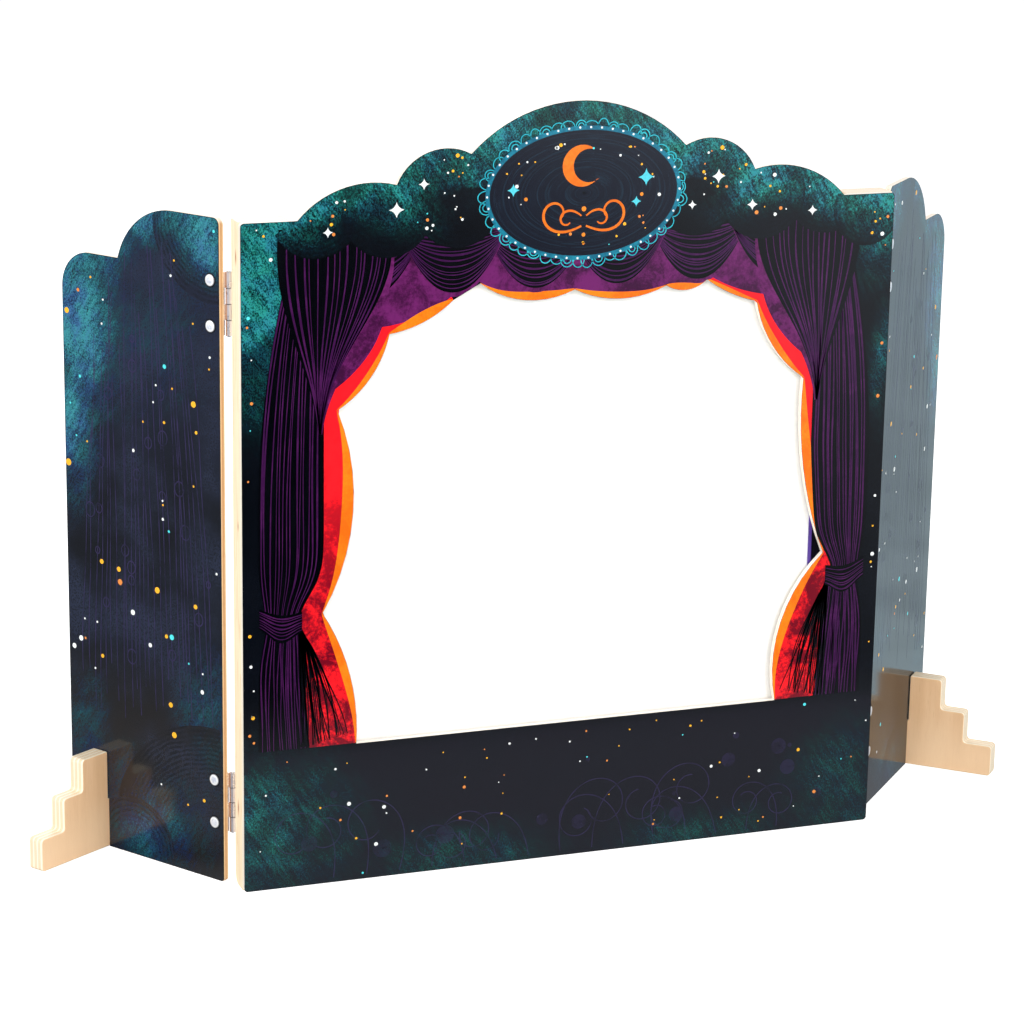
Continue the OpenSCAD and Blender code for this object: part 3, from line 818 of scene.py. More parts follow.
nightInks = {board: nightFinish(name, board) for board, name in (
    ("front", "nightInk"), ("left", "leftNightInk"), ("right", "rightNightInk"),
)}
inks = {
    "cloth": clothFinish("curtainBlack", paint(2, 3, 7), paint(6, 7, 13)),
    "lines": liningFinish("curtainViolet", paint(72, 24, 78), paint(54, 16, 62), 0.40, 0.65),
    "plum": liningFinish("plumLining", paint(106, 32, 98), paint(56, 14, 52), 0.42, 0.72),
    "scarlet": liningFinish("scarletLining", paint(255, 26, 36), paint(112, 8, 28), 0.43, 0.66, (0.420, 0.210)),
    "orange": liningFinish("orangeLining", paint(255, 132, 22), paint(246, 104, 16), 0.40, 0.75),
    "black": tintFinish("blackThread"),
    "band": liningFinish("cyanBand", paint(28, 132, 156), paint(18, 94, 120)),
    "lace": liningFinish("laceLine", paint(52, 194, 208), paint(34, 156, 176)),
    "amber": liningFinish("amberLine", paint(240, 128, 34), paint(224, 106, 22)),
    "dots": tintFinish("dotInk"),
}
print("inks: done")


# Screen, tapes and bindings
screen = {
    "half": 0.2325,
    "foot": 0.090,
    "head": 0.510,
    "depth": 0.00512,
    "thick": 0.00036,
    "slack": 0.00014,  # the cloth's soft waves between the tapes
    "waves": (0.208, 0.190, 0.030),  # where they end, across and up from the middle, and how softly
    "hem": 0.009,
    "hemDepth": (0.00530, 0.00554),
    "hemGap": 0.0002,
    "seam": 0.0016,  # from the hem's inner edge to its stitches
    "stitch": (0.0021, 0.0005, 0.00024),  # length, width and height
    "stitchPitch": 0.0030,
    "stitchDepth": 0.00556,
}
tapes = {
    "width": 0.017,
    "across": 0.224,  # the middle of the side tapes
    "reach": 0.211,  # half the cross tapes
    "ends": (0.0985, 0.5015),  # the heights of the cross tapes
    "hooks": (0.0025, 0.0037),
    "loops": (0.0037, 0.0049),
    "binding": 0.214,
    "bindingWidth": 0.003,
    "corner": 0.0003,
}


def weaveFinish():
    # plain weave: two crossing sine waves, with thicker threads here and there
    finish = Finish("screenCotton")
    x, _, z = finish.split(finish.place)
    weave = finish.times(*(finish.math("SINE", finish.times(value, 2 * math.pi / 0.0007)) for value in (x, z)))
    slubs = finish.larger(finish.noise(420, 2, (1.0, 1.0, 0.03)), finish.noise(420, 2, (0.03, 1.0, 1.0)))
    colour = finish.mix(finish.ramp(slubs, 0.5, 0.8, 0.0, 0.6), paint(246, 246, 244), paint(240, 240, 237))
    finish.bump(finish.plus(weave, slubs), 0.00003, 0.35)
    return finish.set(Base_Color=colour, Roughness=0.85)


def tapeFinish(name, tone, hooks):
    # rows of small hooks, or a mat of loops, on a woven ground
    finish = Finish(name)
    if hooks:
        sockets = {"Vector": finish.place, "Scale": 700.0, "Randomness": 0.3}
        nap = finish.ramp(finish.add("TexVoronoi", sockets).outputs["Distance"], 0.15, 0.45, 1.0, 0.0)
    else:
        nap = finish.noise(1300, 4, roughness=0.7, warp=0.6)
    finish.bump(nap, 0.00012, 0.8)
    colour = finish.mix(nap, paint(*tone), paint(*(value + 7 for value in tone)))
    return finish.set(Base_Color=colour, Roughness=0.9, Specular_IOR_Level=0.08)


def bindingFinish():
    # grosgrain: fine ribs across the ribbon
    finish = Finish("violetGrosgrain")
    rib = finish.math("SINE", finish.times(finish.split(finish.place)[2], 2 * math.pi / 0.0009))
    finish.bump(rib, 0.00006, 0.6)
    colour = finish.mix(finish.ramp(rib, -1.0, 1.0), paint(58, 32, 112), paint(88, 54, 160))
    return finish.set(Base_Color=colour, Roughness=0.5)


def strap(name, start, end, width, depths, material, slot):
    # a rounded rectangle carried along a straight line and closed to a point at both ends;
    # its width wanders a little
    start, end, corner = np.array(start), np.array(end), tapes["corner"]
    length = float(np.linalg.norm(end - start))
    way = (end - start) / length
    aside = np.array([-way[1], way[0]])
    turn = (np.arange(4)[:, None] + np.linspace(0, 1, 5)).ravel() * math.pi / 2
    half = np.array([width, depths[1] - depths[0]]) / 2
    quarters = np.repeat([(1, 1), (-1, 1), (-1, -1), (1, -1)], 5, 0)
    profile = quarters * (half - corner) + corner * directions(turn)
    along = np.concatenate([[0, 0], np.linspace(corner, length - corner, 110), [length, length]])
    wander = 1 - 0.008 * np.sin(np.linspace(0, 40 * length, 110)) ** 2
    size = np.concatenate([[0, 0.98], wander, [0.98, 0]])[:, None]
    flat = (start + way * along[:, None])[:, None] + aside * (size * profile[:, 0])[..., None]
    depth = (depths[0] + depths[1]) / 2 + size * profile[:, 1]
    faces = gridFaces(len(along), len(profile), ring=True)[0]
    piece = makePiece(name, np.stack([flat[..., 0], depth, flat[..., 1]], -1), faces, material, "stage", slot)
    weld(piece.data)
    return piece


def layTapes():
    # each half of the tape stands for its CAD node; the bindings lie beside the two side tapes
    low, high, reach = screen["foot"], screen["head"], tapes["reach"]
    piles = {
        "hook": tapeFinish("hookTape", (4, 2, 10), True),
        "loop": tapeFinish("loopTape", (3, 2, 8), False),
    }
    lines = {side: [(mirror[side] * tapes["across"], z) for z in (low, high)] for side in sides}
    lines["bottom"], lines["top"] = ([(-reach, z), (reach, z)] for z in tapes["ends"])
    made = {}
    for place, line in lines.items():
        for kind, pile in piles.items():
            node = "%s_%s_tape" % (place, kind)
            made[node] = strap(node + "_pile", *line, tapes["width"], tapes[kind + "s"], pile, "fastening_tape")
    violet = bindingFinish()
    for side in sides:
        line = [(mirror[side] * tapes["binding"], z) for z in (low, high)]
        name, width = side + "_grosgrain", tapes["bindingWidth"]
        made[side + "_binding"] = strap(name, *line, width, tapes["loops"], violet, "violet_binding")
    for node, piece in made.items():
        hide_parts(node)
    return made


def sewHems(cotton):
    # each hem starts beside the end of the one before, so that no two lie in the same place
    hem, depths = screen["hem"], screen["hemDepth"]
    hems = []
    for index, (here, there) in enumerate(screenSides()):
        way = np.sign(there - here)
        draw = np.sign(screenMiddle() - here) * (way == 0) * (hem / 2 + screen["hemGap"])
        line = here + draw + way * (hem + 2 * screen["hemGap"]), there + draw
        hems.append(strap("screen_hem_%d" % (index + 1), *line, hem, depths, cotton, "screen_cloth"))
    return hems


def screenMiddle():
    return np.array([0, (screen["foot"] + screen["head"]) / 2])


def screenSides():
    # from corner to corner round the cloth, upwards on the right
    half, low, high = screen["half"], screen["foot"], screen["head"]
    rim = np.array([(half, low), (half, high), (-half, high), (-half, low)])
    return zip(rim, np.roll(rim, -1, 0))


def sewStitches():
    # lockstitches round the hem: small long beads, the radius a root of the sine along each
    places, turns = [], []
    inset = screen["hem"] - screen["seam"]
    for line in screenSides():
        start, end = (point - inset * np.sign(point - screenMiddle()) for point in line)
        count = int(np.linalg.norm(end - start) / screen["stitchPitch"])
        share = (np.arange(count) + 0.5)[:, None] / count
        places.append(start + (end - start) * share)
        turns.append(np.full(count, math.atan2(end[1] - start[1], end[0] - start[0])))
    places, turns = np.concatenate(places)[:, None, None], np.concatenate(turns)[:, None, None]
    run, around = np.linspace(0, math.pi, 5)[:, None], np.linspace(0, 2 * math.pi, 6, endpoint=False)
    length, width, height = screen["stitch"]
    ahead = -np.cos(run) * length / 2
    aside = np.sqrt(np.sin(run)) * np.cos(around) * width / 2
    up = np.sqrt(np.sin(run)) * np.sin(around) * height / 2
    cosine, sine = np.cos(turns), np.sin(turns)
    grid = np.stack([
        places[..., 0] + ahead * cosine - aside * sine,
        screen["stitchDepth"] + up + 0 * cosine,
        places[..., 1] + ahead * sine + aside * cosine,
    ], -1)
    faces = gridFaces(*grid.shape[1:3], ring=True, count=len(grid))[0]
    thread, marks = tintFinish("screenThread", 0.5), {"tint": paint(214, 212, 206)}
    kin = thread, "stage", "screen_cloth"
    stitches = makePiece("screen_stitches", grid, faces, *kin, marks=marks, smooth=True)
    weld(stitches.data)
    return stitches


def stretchScreen(made):
    # flat over the tapes; inside them diagonal waves, the sine of a slanted distance, die away towards the edge
    columns, rows = 132, 120
    half, low, high = screen["half"], screen["foot"], screen["head"]
    x, z = np.meshgrid(np.linspace(-half, half, columns), np.linspace(low, high, rows))
    endX, endZ, soft = screen["waves"]
    free = np.clip(np.minimum(endX - np.abs(x), endZ - np.abs(z - screenMiddle()[1])) / soft, 0, 1)
    wave = 0.5 + 0.3 * np.sin(58 * x + 34 * z) + 0.2 * np.sin(96 * x - 71 * z + 1.0)
    depth = screen["depth"] + screen["slack"] * wave * free ** 2 * (3 - 2 * free)
    faces, uv = gridFaces(rows, columns)
    cotton, points = weaveFinish(), np.stack([x, depth, z], -1)
    cloth = makePiece("screen_sheet", points, faces, cotton, "stage", "screen_cloth", (0, -1, 0), uv)
    thicken(cloth, screen["thick"], 0.0)
    hems, stitches = sewHems(cotton), sewStitches()
    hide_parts("screen_cloth")


stretchScreen(layTapes())
print("screen and tapes: done")


# Curves and bands of the print
def bearing(index):
    x, z, _ = panel["opening"][index]
    return math.atan2(z / 1000 - panel["middle"][1], x / 1000 - panel["middle"][0]) % (2 * math.pi)


def openingBand(first, last, near, far, columns=96):
    # from one corner of the opening to another, between two distances out from its edge, kept on the board
    start, end = bearing(first), bearing(last)
    end = end - 2 * math.pi if end > start else end
    share = np.linspace(0, 1, columns)
    angle = start + (end - start) * share
    low, high = (limit(share) if callable(limit) else limit + 0 * share for limit in (near, far))
    out = openingReach(angle) + between(low, high, 4)
    flat = np.array(panel["middle"]) + directions(angle) * out[..., None]
    side, foot = linings["side"], panel["apron"] + linings["aboveApron"]
    return np.clip(flat, (-side, foot), (side, np.inf))


def between(first, second, rows=2):
    # a grid from one line of points to another
    share = np.linspace(0, 1, rows).reshape(-1, *[1] * first.ndim)
    return first * (1 - share) + second * share


def curve(points, count=48):
    # a smooth curve pulled by its middle points (Bezier), from the first to the last
    t = np.linspace(0, 1, count)[:, None]
    degree = len(points) - 1
    shares = [math.comb(degree, k) * t ** k * (1 - t) ** (degree - k) for k in range(degree + 1)]
    return sum(share * point for share, point in zip(shares, np.array(points, float)))


def curl(start, heading, bend, tighten, length, count=60):
    # a line whose bend grows evenly along its way
    share = np.linspace(0, 1, count)
    angle = math.radians(heading) + bend * share + tighten * share ** 2
    step = directions(angle) * length / count
    return np.array(start) + np.cumsum(step, 0) - step[0]


def ribbon(path, width):
    # half the width to each side of the path
    way = np.gradient(path, axis=-2)
    way = way / np.linalg.norm(way, axis=-1, keepdims=True)
    aside = np.stack([-way[..., 1], way[..., 0]], -1) * (width / 2)
    return np.stack([path - aside, path + aside], -3)


def uneven(count, random, spread=0.5):
    # shares from 0 to 1 with gaps that vary by the spread
    steps = np.cumsum(random.uniform(1 - spread, 1 + spread, count + 1))
    return steps[:-1] / steps[-1]


def foldLines(first, last, count, width, seed, wave=0.0):
    # brush lines along a cloth: each keeps its share of the way from the first edge to the last,
    # sways a little, and swells from thin ends with the root of a half wave
    random = np.random.default_rng(seed)
    shares = uneven(count, random)[:, None, None]
    along = np.linspace(0, 1, len(first))
    path = first * (1 - shares) + last * shares
    pitch, phase = random.uniform(3, 9, (2, count, 1)), random.uniform(0, 6.3, (2, count, 1))
    path[..., 0] += wave * np.sin(along * pitch[0] + phase[0])
    body = 0.30 + 0.70 * np.sqrt(np.sin(math.pi * (0.02 + 0.96 * along)))
    swell = 1 + 0.22 * np.sin(along * pitch[1] * 2 + phase[1])
    brush = width * random.uniform(0.6, 1.35, (count, 1)) * body * swell
    return ribbon(path, brush[..., None])


# Printed ground of the front and the wings
glows = {  # across, up, half width, half height, strength
    "front": (
        (-0.266, 0.495, 0.074, 0.092, 1.02), (0.262, 0.515, 0.040, 0.045, 0.70),
        (-0.262, 0.050, 0.085, 0.062, 0.60), (0.255, 0.030, 0.060, 0.060, 0.42),
        (0.270, 0.400, 0.012, 0.050, 0.55), (-0.090, 0.006, 0.090, 0.034, 0.42),
        (0.110, 0.004, 0.090, 0.026, 0.36),
    ),
    "wing": (
        (0.158, 0.430, 0.044, 0.060, 1.02), (0.168, 0.360, 0.030, 0.060, 0.85),
        (0.018, 0.520, 0.034, 0.034, 0.95), (0.080, 0.040, 0.060, 0.055, 0.50),
        (0.016, 0.130, 0.040, 0.060, 0.34), (0.150, 0.100, 0.030, 0.050, 0.28),
        (0.095, 0.440, 0.090, 0.080, 0.22),
    ),
}


def boardGlow(board, flat):
    # bright along the upper rim and in soft spots; on the front, shaded round the medallion
    x, z = flat[..., 0], flat[..., 1]
    if board == "front":
        glow = (0.78 + 0.5 * x) * np.exp(-(panelDepth(flat) / 0.034) ** 2) * np.clip((z - 0.45) / 0.08, 0, 1)
    else:
        toEdge = np.minimum(wingTop(x) - z, wing["far"] - x)
        glow = 0.70 * np.exp(-(toEdge / 0.026) ** 2) * np.clip((z - 0.34) / 0.10, 0, 1)
    for spotX, spotZ, wide, high, strength in glows["front" if board == "front" else "wing"]:
        glow = np.maximum(glow, strength * np.exp(-((x - spotX) / wide) ** 2 - ((z - spotZ) / high) ** 2))
    if board != "front":
        return glow
    out = np.maximum(np.hypot(x / 0.098, (z - 0.538) / 0.070) - 1, 0)
    return glow * (1 - 0.75 * np.exp(-(out / 0.16) ** 2) * (z < 0.560))


def printNight(name, flat, layer, board, marks=None, ring=False, shade=0.0):
    # in the ground's own ink, with its glow at that place, less the shade
    marks = {"glow": boardGlow(board, flat) * (1 - shade), **(marks or {})}
    printFilm(name, flat, layer, nightInks[board], board, ring, marks)


def layGround():
    # more columns at the opening's corners and round the board's four
    edge, middle = film["edge"], np.array(panel["middle"])
    around = directions(np.linspace(0, 2 * math.pi, 24, endpoint=False)) * panel["corner"]
    rims = (panelCorners()[1][:, None] + around).reshape(-1, 2)
    angle = np.unique(np.concatenate([
        np.linspace(0, 2 * math.pi, 1200, endpoint=False),
        [bearing(index) for index in range(len(panel["opening"]))],
        np.arctan2(rims[:, 1], rims[:, 0]) % (2 * math.pi),
    ]))
    out = between(openingReach(angle) + edge * 0.4, outerReach(angle) - edge, 18)
    printNight("front_print", middle + directions(angle) * out[..., None], 0, "front", ring=True)
    # each wing in three parts: beside the foot's slot, beyond it, and above it
    corner = wing["corner"] * (1 - np.cos(np.linspace(0, math.pi / 2, 8)))
    near, far = wing["near"] + edge, wing["far"] - edge
    slotNear, slotFar, slotTop = wing["slot"]
    slotTop = slotTop + edge
    for side in sides:
        for name, rows, *columns in (
            ("_wing_print_foot_inner", 8, near + corner / 2, np.linspace(near, slotNear - edge, 56)),
            ("_wing_print_foot_outer", 8, np.linspace(slotFar + edge, far, 16), far - corner / 2),
            (
                "_wing_print", 56,
                near + corner, np.linspace(0.010, wing["far"] - 0.004, 72), [wing["lobe"][0]], far - corner / 2,
            ),
        ):
            across = np.unique(np.concatenate(columns))
            low, high = (wingFoot(across, edge), slotTop) if rows == 8 else (slotTop, wingTop(across, edge))
            up = between(low + 0 * across, high + 0 * across, rows)
            printNight(side + name, np.stack([across + 0 * up, up], -1), 0, side)


# Round clouds with arcs in them, and faint lines, in the ground's own ink
clouds = {
    "pitch": 0.0040,
    "dark": 0.62,
    "front": (  # across, up, radius and the bearing of the dark side; each lies over the ones before
        (-0.214, 0.5470, 0.0370, -80), (-0.100, 0.5500, 0.0370, -90), (-0.157, 0.5450, 0.0370, -90),
        (0.214, 0.5470, 0.0370, -90), (0.100, 0.5500, 0.0370, -90), (0.157, 0.5450, 0.0370, -90),
        (0.250, 0.5280, 0.0300, -110),
    ),
    "wing": ((0.012, 0.016, 0.112, 40), (0.100, 0.006, 0.044, 90), (0.010, 0.534, 0.062, -60)),
}
strands = {
    "seed": {"left": 31, "right": 47},
    "count": 26,
    "foot": (0.006, 0.156),  # where they begin, and how far they spread
    "low": (0.100, 0.170),
    "high": (0.420, 0.520),
    "fromEdge": 0.012,
    "width": 0.0009,
    "layer": 1.2,
    "lift": 0.03,  # of a layer, so that lines which cross lie a hair above each other
    "beads": 22,
    "beadWidth": 0.0010,
    "beadLayer": 2,
    "violet": 0.80,
}
apron = {
    "seed": 12,
    "curls": (-0.200, 0.190, 15),  # the first, the last and how many
    "low": (-0.268, 0.0015),
    "high": (0.268, 0.1135),
    "width": 0.0010,
    "layer": 1,
    "violet": 0.55,
    "leaves": 16,
    "leafLayer": 1.5,
    "leafViolet": 0.32,
}


def layClouds(board):
    rounds = clouds["front" if board == "front" else "wing"]
    way = directions(np.linspace(0, 2 * math.pi, 120, endpoint=False))
    steps = np.linspace(0, 1, 500)
    flats, rings, arcs, shades = [], [], [], []
    for x, z, radius, darkSide in rounds:
        dark = 0.5 + 0.5 * way @ directions(math.radians(darkSide))
        centre = np.array([x, z])
        rays = centre + way[:, None] * (radius * steps)[:, None]
        inside = np.cumprod(clearOf(board, rays), axis=1).sum(1)
        out = radius * steps[np.maximum(inside - 1, 0)] * np.linspace(0.01, 1, 12)[:, None]
        share = out / radius
        flats.append(centre + way * out[..., None])
        rings.append(out / clouds["pitch"])
        arcs.append(clouds["dark"] * dark * np.clip((share - 0.25) / 0.45, 0, 1) ** 1.5)
        shades.append(0.8 * dark * share ** 3)
    name, lowest = ("front_clouds", 9.3) if board == "front" else (board + "_wing_clouds", 0.3)
    layer = lowest + 0.2 * np.arange(len(rounds))[:, None, None]
    marks = {"ring": rings, "arcs": arcs}
    printNight(name, np.stack(flats), layer, board, marks, ring=True, shade=np.stack(shades))


def layStrands(side):
    # long strands with a few beads on them
    random = np.random.default_rng(strands["seed"][side])
    count, beads = strands["count"], strands["beads"]
    start, spread = strands["foot"]
    up = np.linspace(0, 1, 70)
    foot = start + spread * uneven(count, random, 0.35)[:, None]
    head = 0.72 * foot + 0.028 + 0.006 * random.uniform(-1, 1, (count, 1))
    low, high = (random.uniform(*strands[end], (count, 1)) for end in ("low", "high"))
    high = np.minimum(high, wingTop(head) - strands["fromEdge"])
    across = foot + (head - foot) * up ** 1.5 + 0.0008 * np.sin(up * random.uniform(6, 14, (count, 1)))
    path = np.stack([across, low + (high - low) * up], -1)
    lift = strands["lift"] * np.arange(count)[:, None, None]
    marks = {"line": strands["violet"]}
    printNight(side + "_wing_strands", ribbon(path, strands["width"]), strands["layer"] + lift, side, marks)
    places = path[random.integers(0, count, beads), random.integers(4, 60, beads)]
    around = directions(np.linspace(0, 2 * math.pi, 28)) * random.uniform(0.0020, 0.0050, (beads, 1, 1))
    rings = ribbon(places[:, None] + around * (1.0, 1.25), strands["beadWidth"])
    printNight(side + "_wing_beads", rings, strands["beadLayer"] + lift[:beads], side, marks)


def layApron():
    # curls that rise from the lower edge, and round leaves: a circle at half the radius, as wide as the radius
    random = np.random.default_rng(apron["seed"])
    curls = []
    for x in np.linspace(*apron["curls"]):
        lean = random.uniform(-0.5, 0.5)
        turned = 1 if random.random() > 0.5 else -1
        bend, tighten = turned * random.uniform(0.2, 0.8), turned * random.uniform(5.0, 8.0)
        curls.append(curl((x, 0.004), 90 + 30 * lean, bend, tighten, random.uniform(0.120, 0.185), 90))
    lines = ribbon(np.clip(curls, apron["low"], apron["high"]), apron["width"])
    layer = apron["layer"] + strands["lift"] * np.arange(len(curls))[:, None, None]
    printNight("apron_curls", lines, layer, "front", {"line": apron["violet"]})
    count = apron["leaves"]
    middles = random.uniform((-0.255, 0.018), (0.255, 0.100), (count, 2))
    radii = random.uniform(0.0015, 0.0085, count)[:, None, None]
    leaves = ribbon(middles[:, None] + directions(np.linspace(0, 2 * math.pi, 36)) * radii / 2, radii)
    layer = apron["leafLayer"] + 0.2 * np.arange(count)[:, None, None]
    printNight("apron_leaves", leaves, layer, "front", {"line": apron["leafViolet"]})


def shadeRoundBolts():
    # painted shadow: a thin near-black ring film, little wider than the head, under each bolt, for the shade
    # round the head
    around = directions(np.linspace(0, 2 * math.pi, 40, endpoint=False))
    middles = np.array([
        (hinge["boltAcross"], hinge["height"] + end * hinge["away"] + up * hinge["boltUp"])
        for end in (-1, 1) for up in (-1, 1)
    ])[:, None]
    rings = np.stack([middles + around * radius for radius in (0.0042, 0.0057)], 1)
    shadowRing = Finish("boltShadowRing")
    mottle = shadowRing.ramp(shadowRing.noise(800, 3), 0.4, 0.7)
    shadowRing.bump(mottle, 0.00002, 0.4)
    colour = shadowRing.mix(mottle, paint(6, 7, 12), paint(18, 20, 28))
    shadowRing.set(Base_Color=colour, Roughness=0.85, Specular_IOR_Level=0.1)
    for side in sides:
        printFilm(side + "_wing_bolt_shadows", rings, 2.7, shadowRing.material, side, ring=True)


layGround()
for side in sides:
    layStrands(side)
layApron()
for board in ("front", *sides):
    layClouds(board)
shadeRoundBolts()
print("printed ground: done")


# Curtain
linings = {
    "gap": 0.0003,  # from the opening's edge
    "side": 0.245,
    "aboveApron": 0.0006,
    "scarlet": {"left": (0, 4), "right": (8, 12)},  # from corner to corner of the opening
    "orange": (0.0065, 0.009, 0.004, 0.008, 0.0, 0.0065, 0.005, 0.006, 0.003, 0.005, 0.008, 0.0075),
}
curtain = {
    "foot": 0.1168,
    "head": 0.532,
    "tie": 0.222,
    "inner": 0.208,
    "outer": 0.2615,
    "pinch": 0.020,
    "lines": {"left": (14, 0.00105), "right": (16, 0.00135)},  # how many and how wide
    # one set of lines above the tie and one below, so that they break at it: rows and seed
    "parts": {"upper": (slice(31, None), 3), "lower": (slice(0, 30), 8)},
}
threads = {"count": 34, "width": 0.0013, "seed": 5, "knot": (0.2290, 0.2240), "spread": 0.031, "fall": 0.1065}
tie = {"far": 0.2605, "near": 0.2258, "top": 0.2350, "deep": 0.020, "lines": (7, 0.0011), "seed": 14}
swags = {
    "count": 6,
    "half": 0.206,
    "head": 0.526,
    "drop": 0.006,
    "sag": 0.040,
    "wide": 0.61,
    "lines": (12, 0.00115),
}
cascade = {  # the folds that fall from the upper corners: the points that pull each line
    "outer": ((0.2440, 0.534), (0.2520, 0.470), (0.2180, 0.430), (0.2125, 0.372)),
    "inner": ((0.1560, 0.534), (0.1400, 0.474), (0.2040, 0.444), (0.2105, 0.372)),
    "hem": ((0.1560, 0.534), (0.1340, 0.466), (0.2010, 0.438), (0.2095, 0.372)),
    "lines": (16, 0.0012),
}


def layLinings():
    gap = linings["gap"]
    for side, corners in linings["scarlet"].items():
        printFilm(side + "_scarlet_lining", openingBand(*corners, gap, 0.050), 1, inks["scarlet"])
    top = openingBand(2, 10, lambda share: gap + 0.019 * np.abs(2 * share - 1) ** 2.4, 0.060, columns=240)
    printFilm("plum_lining", top, 2, inks["plum"])
    swell = lambda width: lambda share: 0.0007 + width * np.sin(math.pi * share) ** 0.75
    bands = [
        openingBand(index, index + 1, gap, swell(width), columns=48)
        for index, width in enumerate(linings["orange"]) if width > 0
    ]
    printFilm("orange_piping", np.stack(bands), 3, inks["orange"])


def openingEdge(side, height):
    # how far out the opening reaches on that side
    outline = openingOutline() * (mirror[side], 1)
    outline = outline[(outline[:, 0] > 0.12) & (outline[:, 1] > panel["apron"] + 0.0002)]
    order = np.argsort(outline[:, 1])
    return np.interp(height, outline[order, 1], outline[order, 0])


def drapeEdges(side, height):
    above = np.clip((height - 0.300) / 0.200, 0, 1)
    pinch = np.exp(-((height - curtain["tie"]) / 0.028) ** 2)
    below = np.clip((curtain["tie"] - height) / 0.105, 0, 1)
    inner = curtain["inner"] + curtain["pinch"] * np.maximum(pinch, below > 0) - 0.008 * below ** 0.8
    outer = curtain["outer"] - 0.006 * pinch - 0.024 * above ** 2
    # where the opening reaches farther than the drape's edge, the edge gives way, and softly above and below
    push = np.maximum(openingEdge(side, height) + linings["gap"] - inner, 0)
    for widen in (np.max, np.mean):
        push = widen(np.lib.stride_tricks.sliding_window_view(np.pad(push, 8, mode="edge"), 17), axis=-1)
    return outer, inner + push


def layThreads(side, seed):
    # loose threads under the tie, fanned out over the lining
    random = np.random.default_rng(seed)
    count, (knotX, knotZ) = threads["count"], threads["knot"]
    share, t = np.linspace(0.0, 1.0, count)[:, None], np.linspace(0, 1, 40)
    sway = 0.0040 * np.sin(t * random.uniform(2, 5, (count, 1)) + random.uniform(0, 6, (count, 1))) * t
    x = knotX - 0.004 * share - (0.002 + threads["spread"] * share ** 1.3) * t ** 0.75 + sway * (0.3 + share)
    z = knotZ - 0.014 * share * (1 - t) - (threads["fall"] - 0.008 * share ** 2) * t
    taper = threads["width"] * random.uniform(0.6, 1.2, (count, 1)) * (1 - 0.5 * t)
    lines = ribbon(np.stack([mirror[side] * x, z], -1), taper[..., None])
    printFilm(side + "_threads", lines, 6, inks["black"], marks={"tint": (0.002, 0.002, 0.004, 1.0)})


def layTie(side, seed):
    # a gathered band with a soft sag
    across = np.linspace(0, 1, 40)
    top = tie["top"] - 0.004 * np.sin(math.pi * across) - 0.005 * across
    base = top - tie["deep"] + 0.003 * np.cos(2 * math.pi * across)
    x = mirror[side] * (tie["far"] + (tie["near"] - tie["far"]) * across)
    lines = [np.stack([x, line], -1) for line in (top, base)]
    printFilm(side + "_tie", between(*lines, 6), 7, inks["cloth"])
    printFilm(side + "_tie_lines", foldLines(*lines, *tie["lines"], seed), 8, inks["lines"])


def layDrapes():
    height = np.linspace(curtain["foot"], curtain["head"], 120)
    for index, side in enumerate(sides):
        edges = [np.stack([mirror[side] * edge, height], -1) for edge in drapeEdges(side, height)]
        printFilm(side + "_drape", between(*edges, 8), 4, inks["cloth"])
        for part, (rows, seed) in curtain["parts"].items():
            lines = foldLines(edges[0][rows], edges[1][rows], *curtain["lines"][side], seed + index, 0.0007)
            printFilm(side + "_drape_%s_lines" % part, lines, 5, inks["lines"])
        layThreads(side, threads["seed"] + index)
        layTie(side, tie["seed"] + index)


def laySwags():
    count, head = swags["count"], swags["head"]
    s = np.linspace(-1, 1, 44)
    pitch = 2 * swags["half"] / count
    middles = -swags["half"] + pitch * (np.arange(count) + 0.5)
    bow = 1 - np.abs(s) ** 2.1
    across = s * pitch * swags["wide"]
    top = np.stack([across, head - 0.002 * bow], -1)
    foot = np.stack([across * 0.97, head - swags["drop"] - (0.002 + swags["sag"]) * bow], -1)
    drop = foot - np.stack([0 * s, 0.0036 * (1 - 0.8 * np.abs(s) ** 3)], -1)
    shift = np.stack([middles, 0 * middles], -1)[:, None, None]
    # every second swag lies over its neighbours
    level = 4 + 1.5 * (np.arange(count) % 2)[:, None, None]
    # the hems stay above the opening's edge
    hems = between(foot, drop, 3) + shift
    outline = openingOutline()
    outline = outline[(outline[:, 1] > 0.40) & (np.abs(outline[:, 0]) < 0.16)]
    outline = outline[np.argsort(outline[:, 0])]
    hems[..., 1] = np.maximum(hems[..., 1], np.interp(hems[..., 0], *outline.T) + 0.0004)
    printFilm("swag_hems", hems, level, inks["plum"])
    printFilm("swags", between(top, foot, 8) + shift, level + 0.5, inks["cloth"])
    lines = [foldLines(top, foot, *swags["lines"], 60 + index) + (x, 0) for index, x in enumerate(middles)]
    printFilm("swag_lines", np.concatenate(lines), np.repeat(level + 1, swags["lines"][0], 0), inks["lines"])


def layCascades():
    for index, side in enumerate(sides):
        outer, inner, hem = (curve(cascade[line]) * (mirror[side], 1) for line in ("outer", "inner", "hem"))
        printFilm(side + "_cascade_hem", between(inner, hem, 3), 7, inks["plum"])
        printFilm(side + "_cascade", between(outer, inner, 12), 8, inks["cloth"])
        lines = foldLines(outer, inner, *cascade["lines"], 40 + index, 0.0005)
        printFilm(side + "_cascade_lines", lines, 9, inks["lines"])


layLinings()
layDrapes()
laySwags()
layCascades()
print("curtain: done")


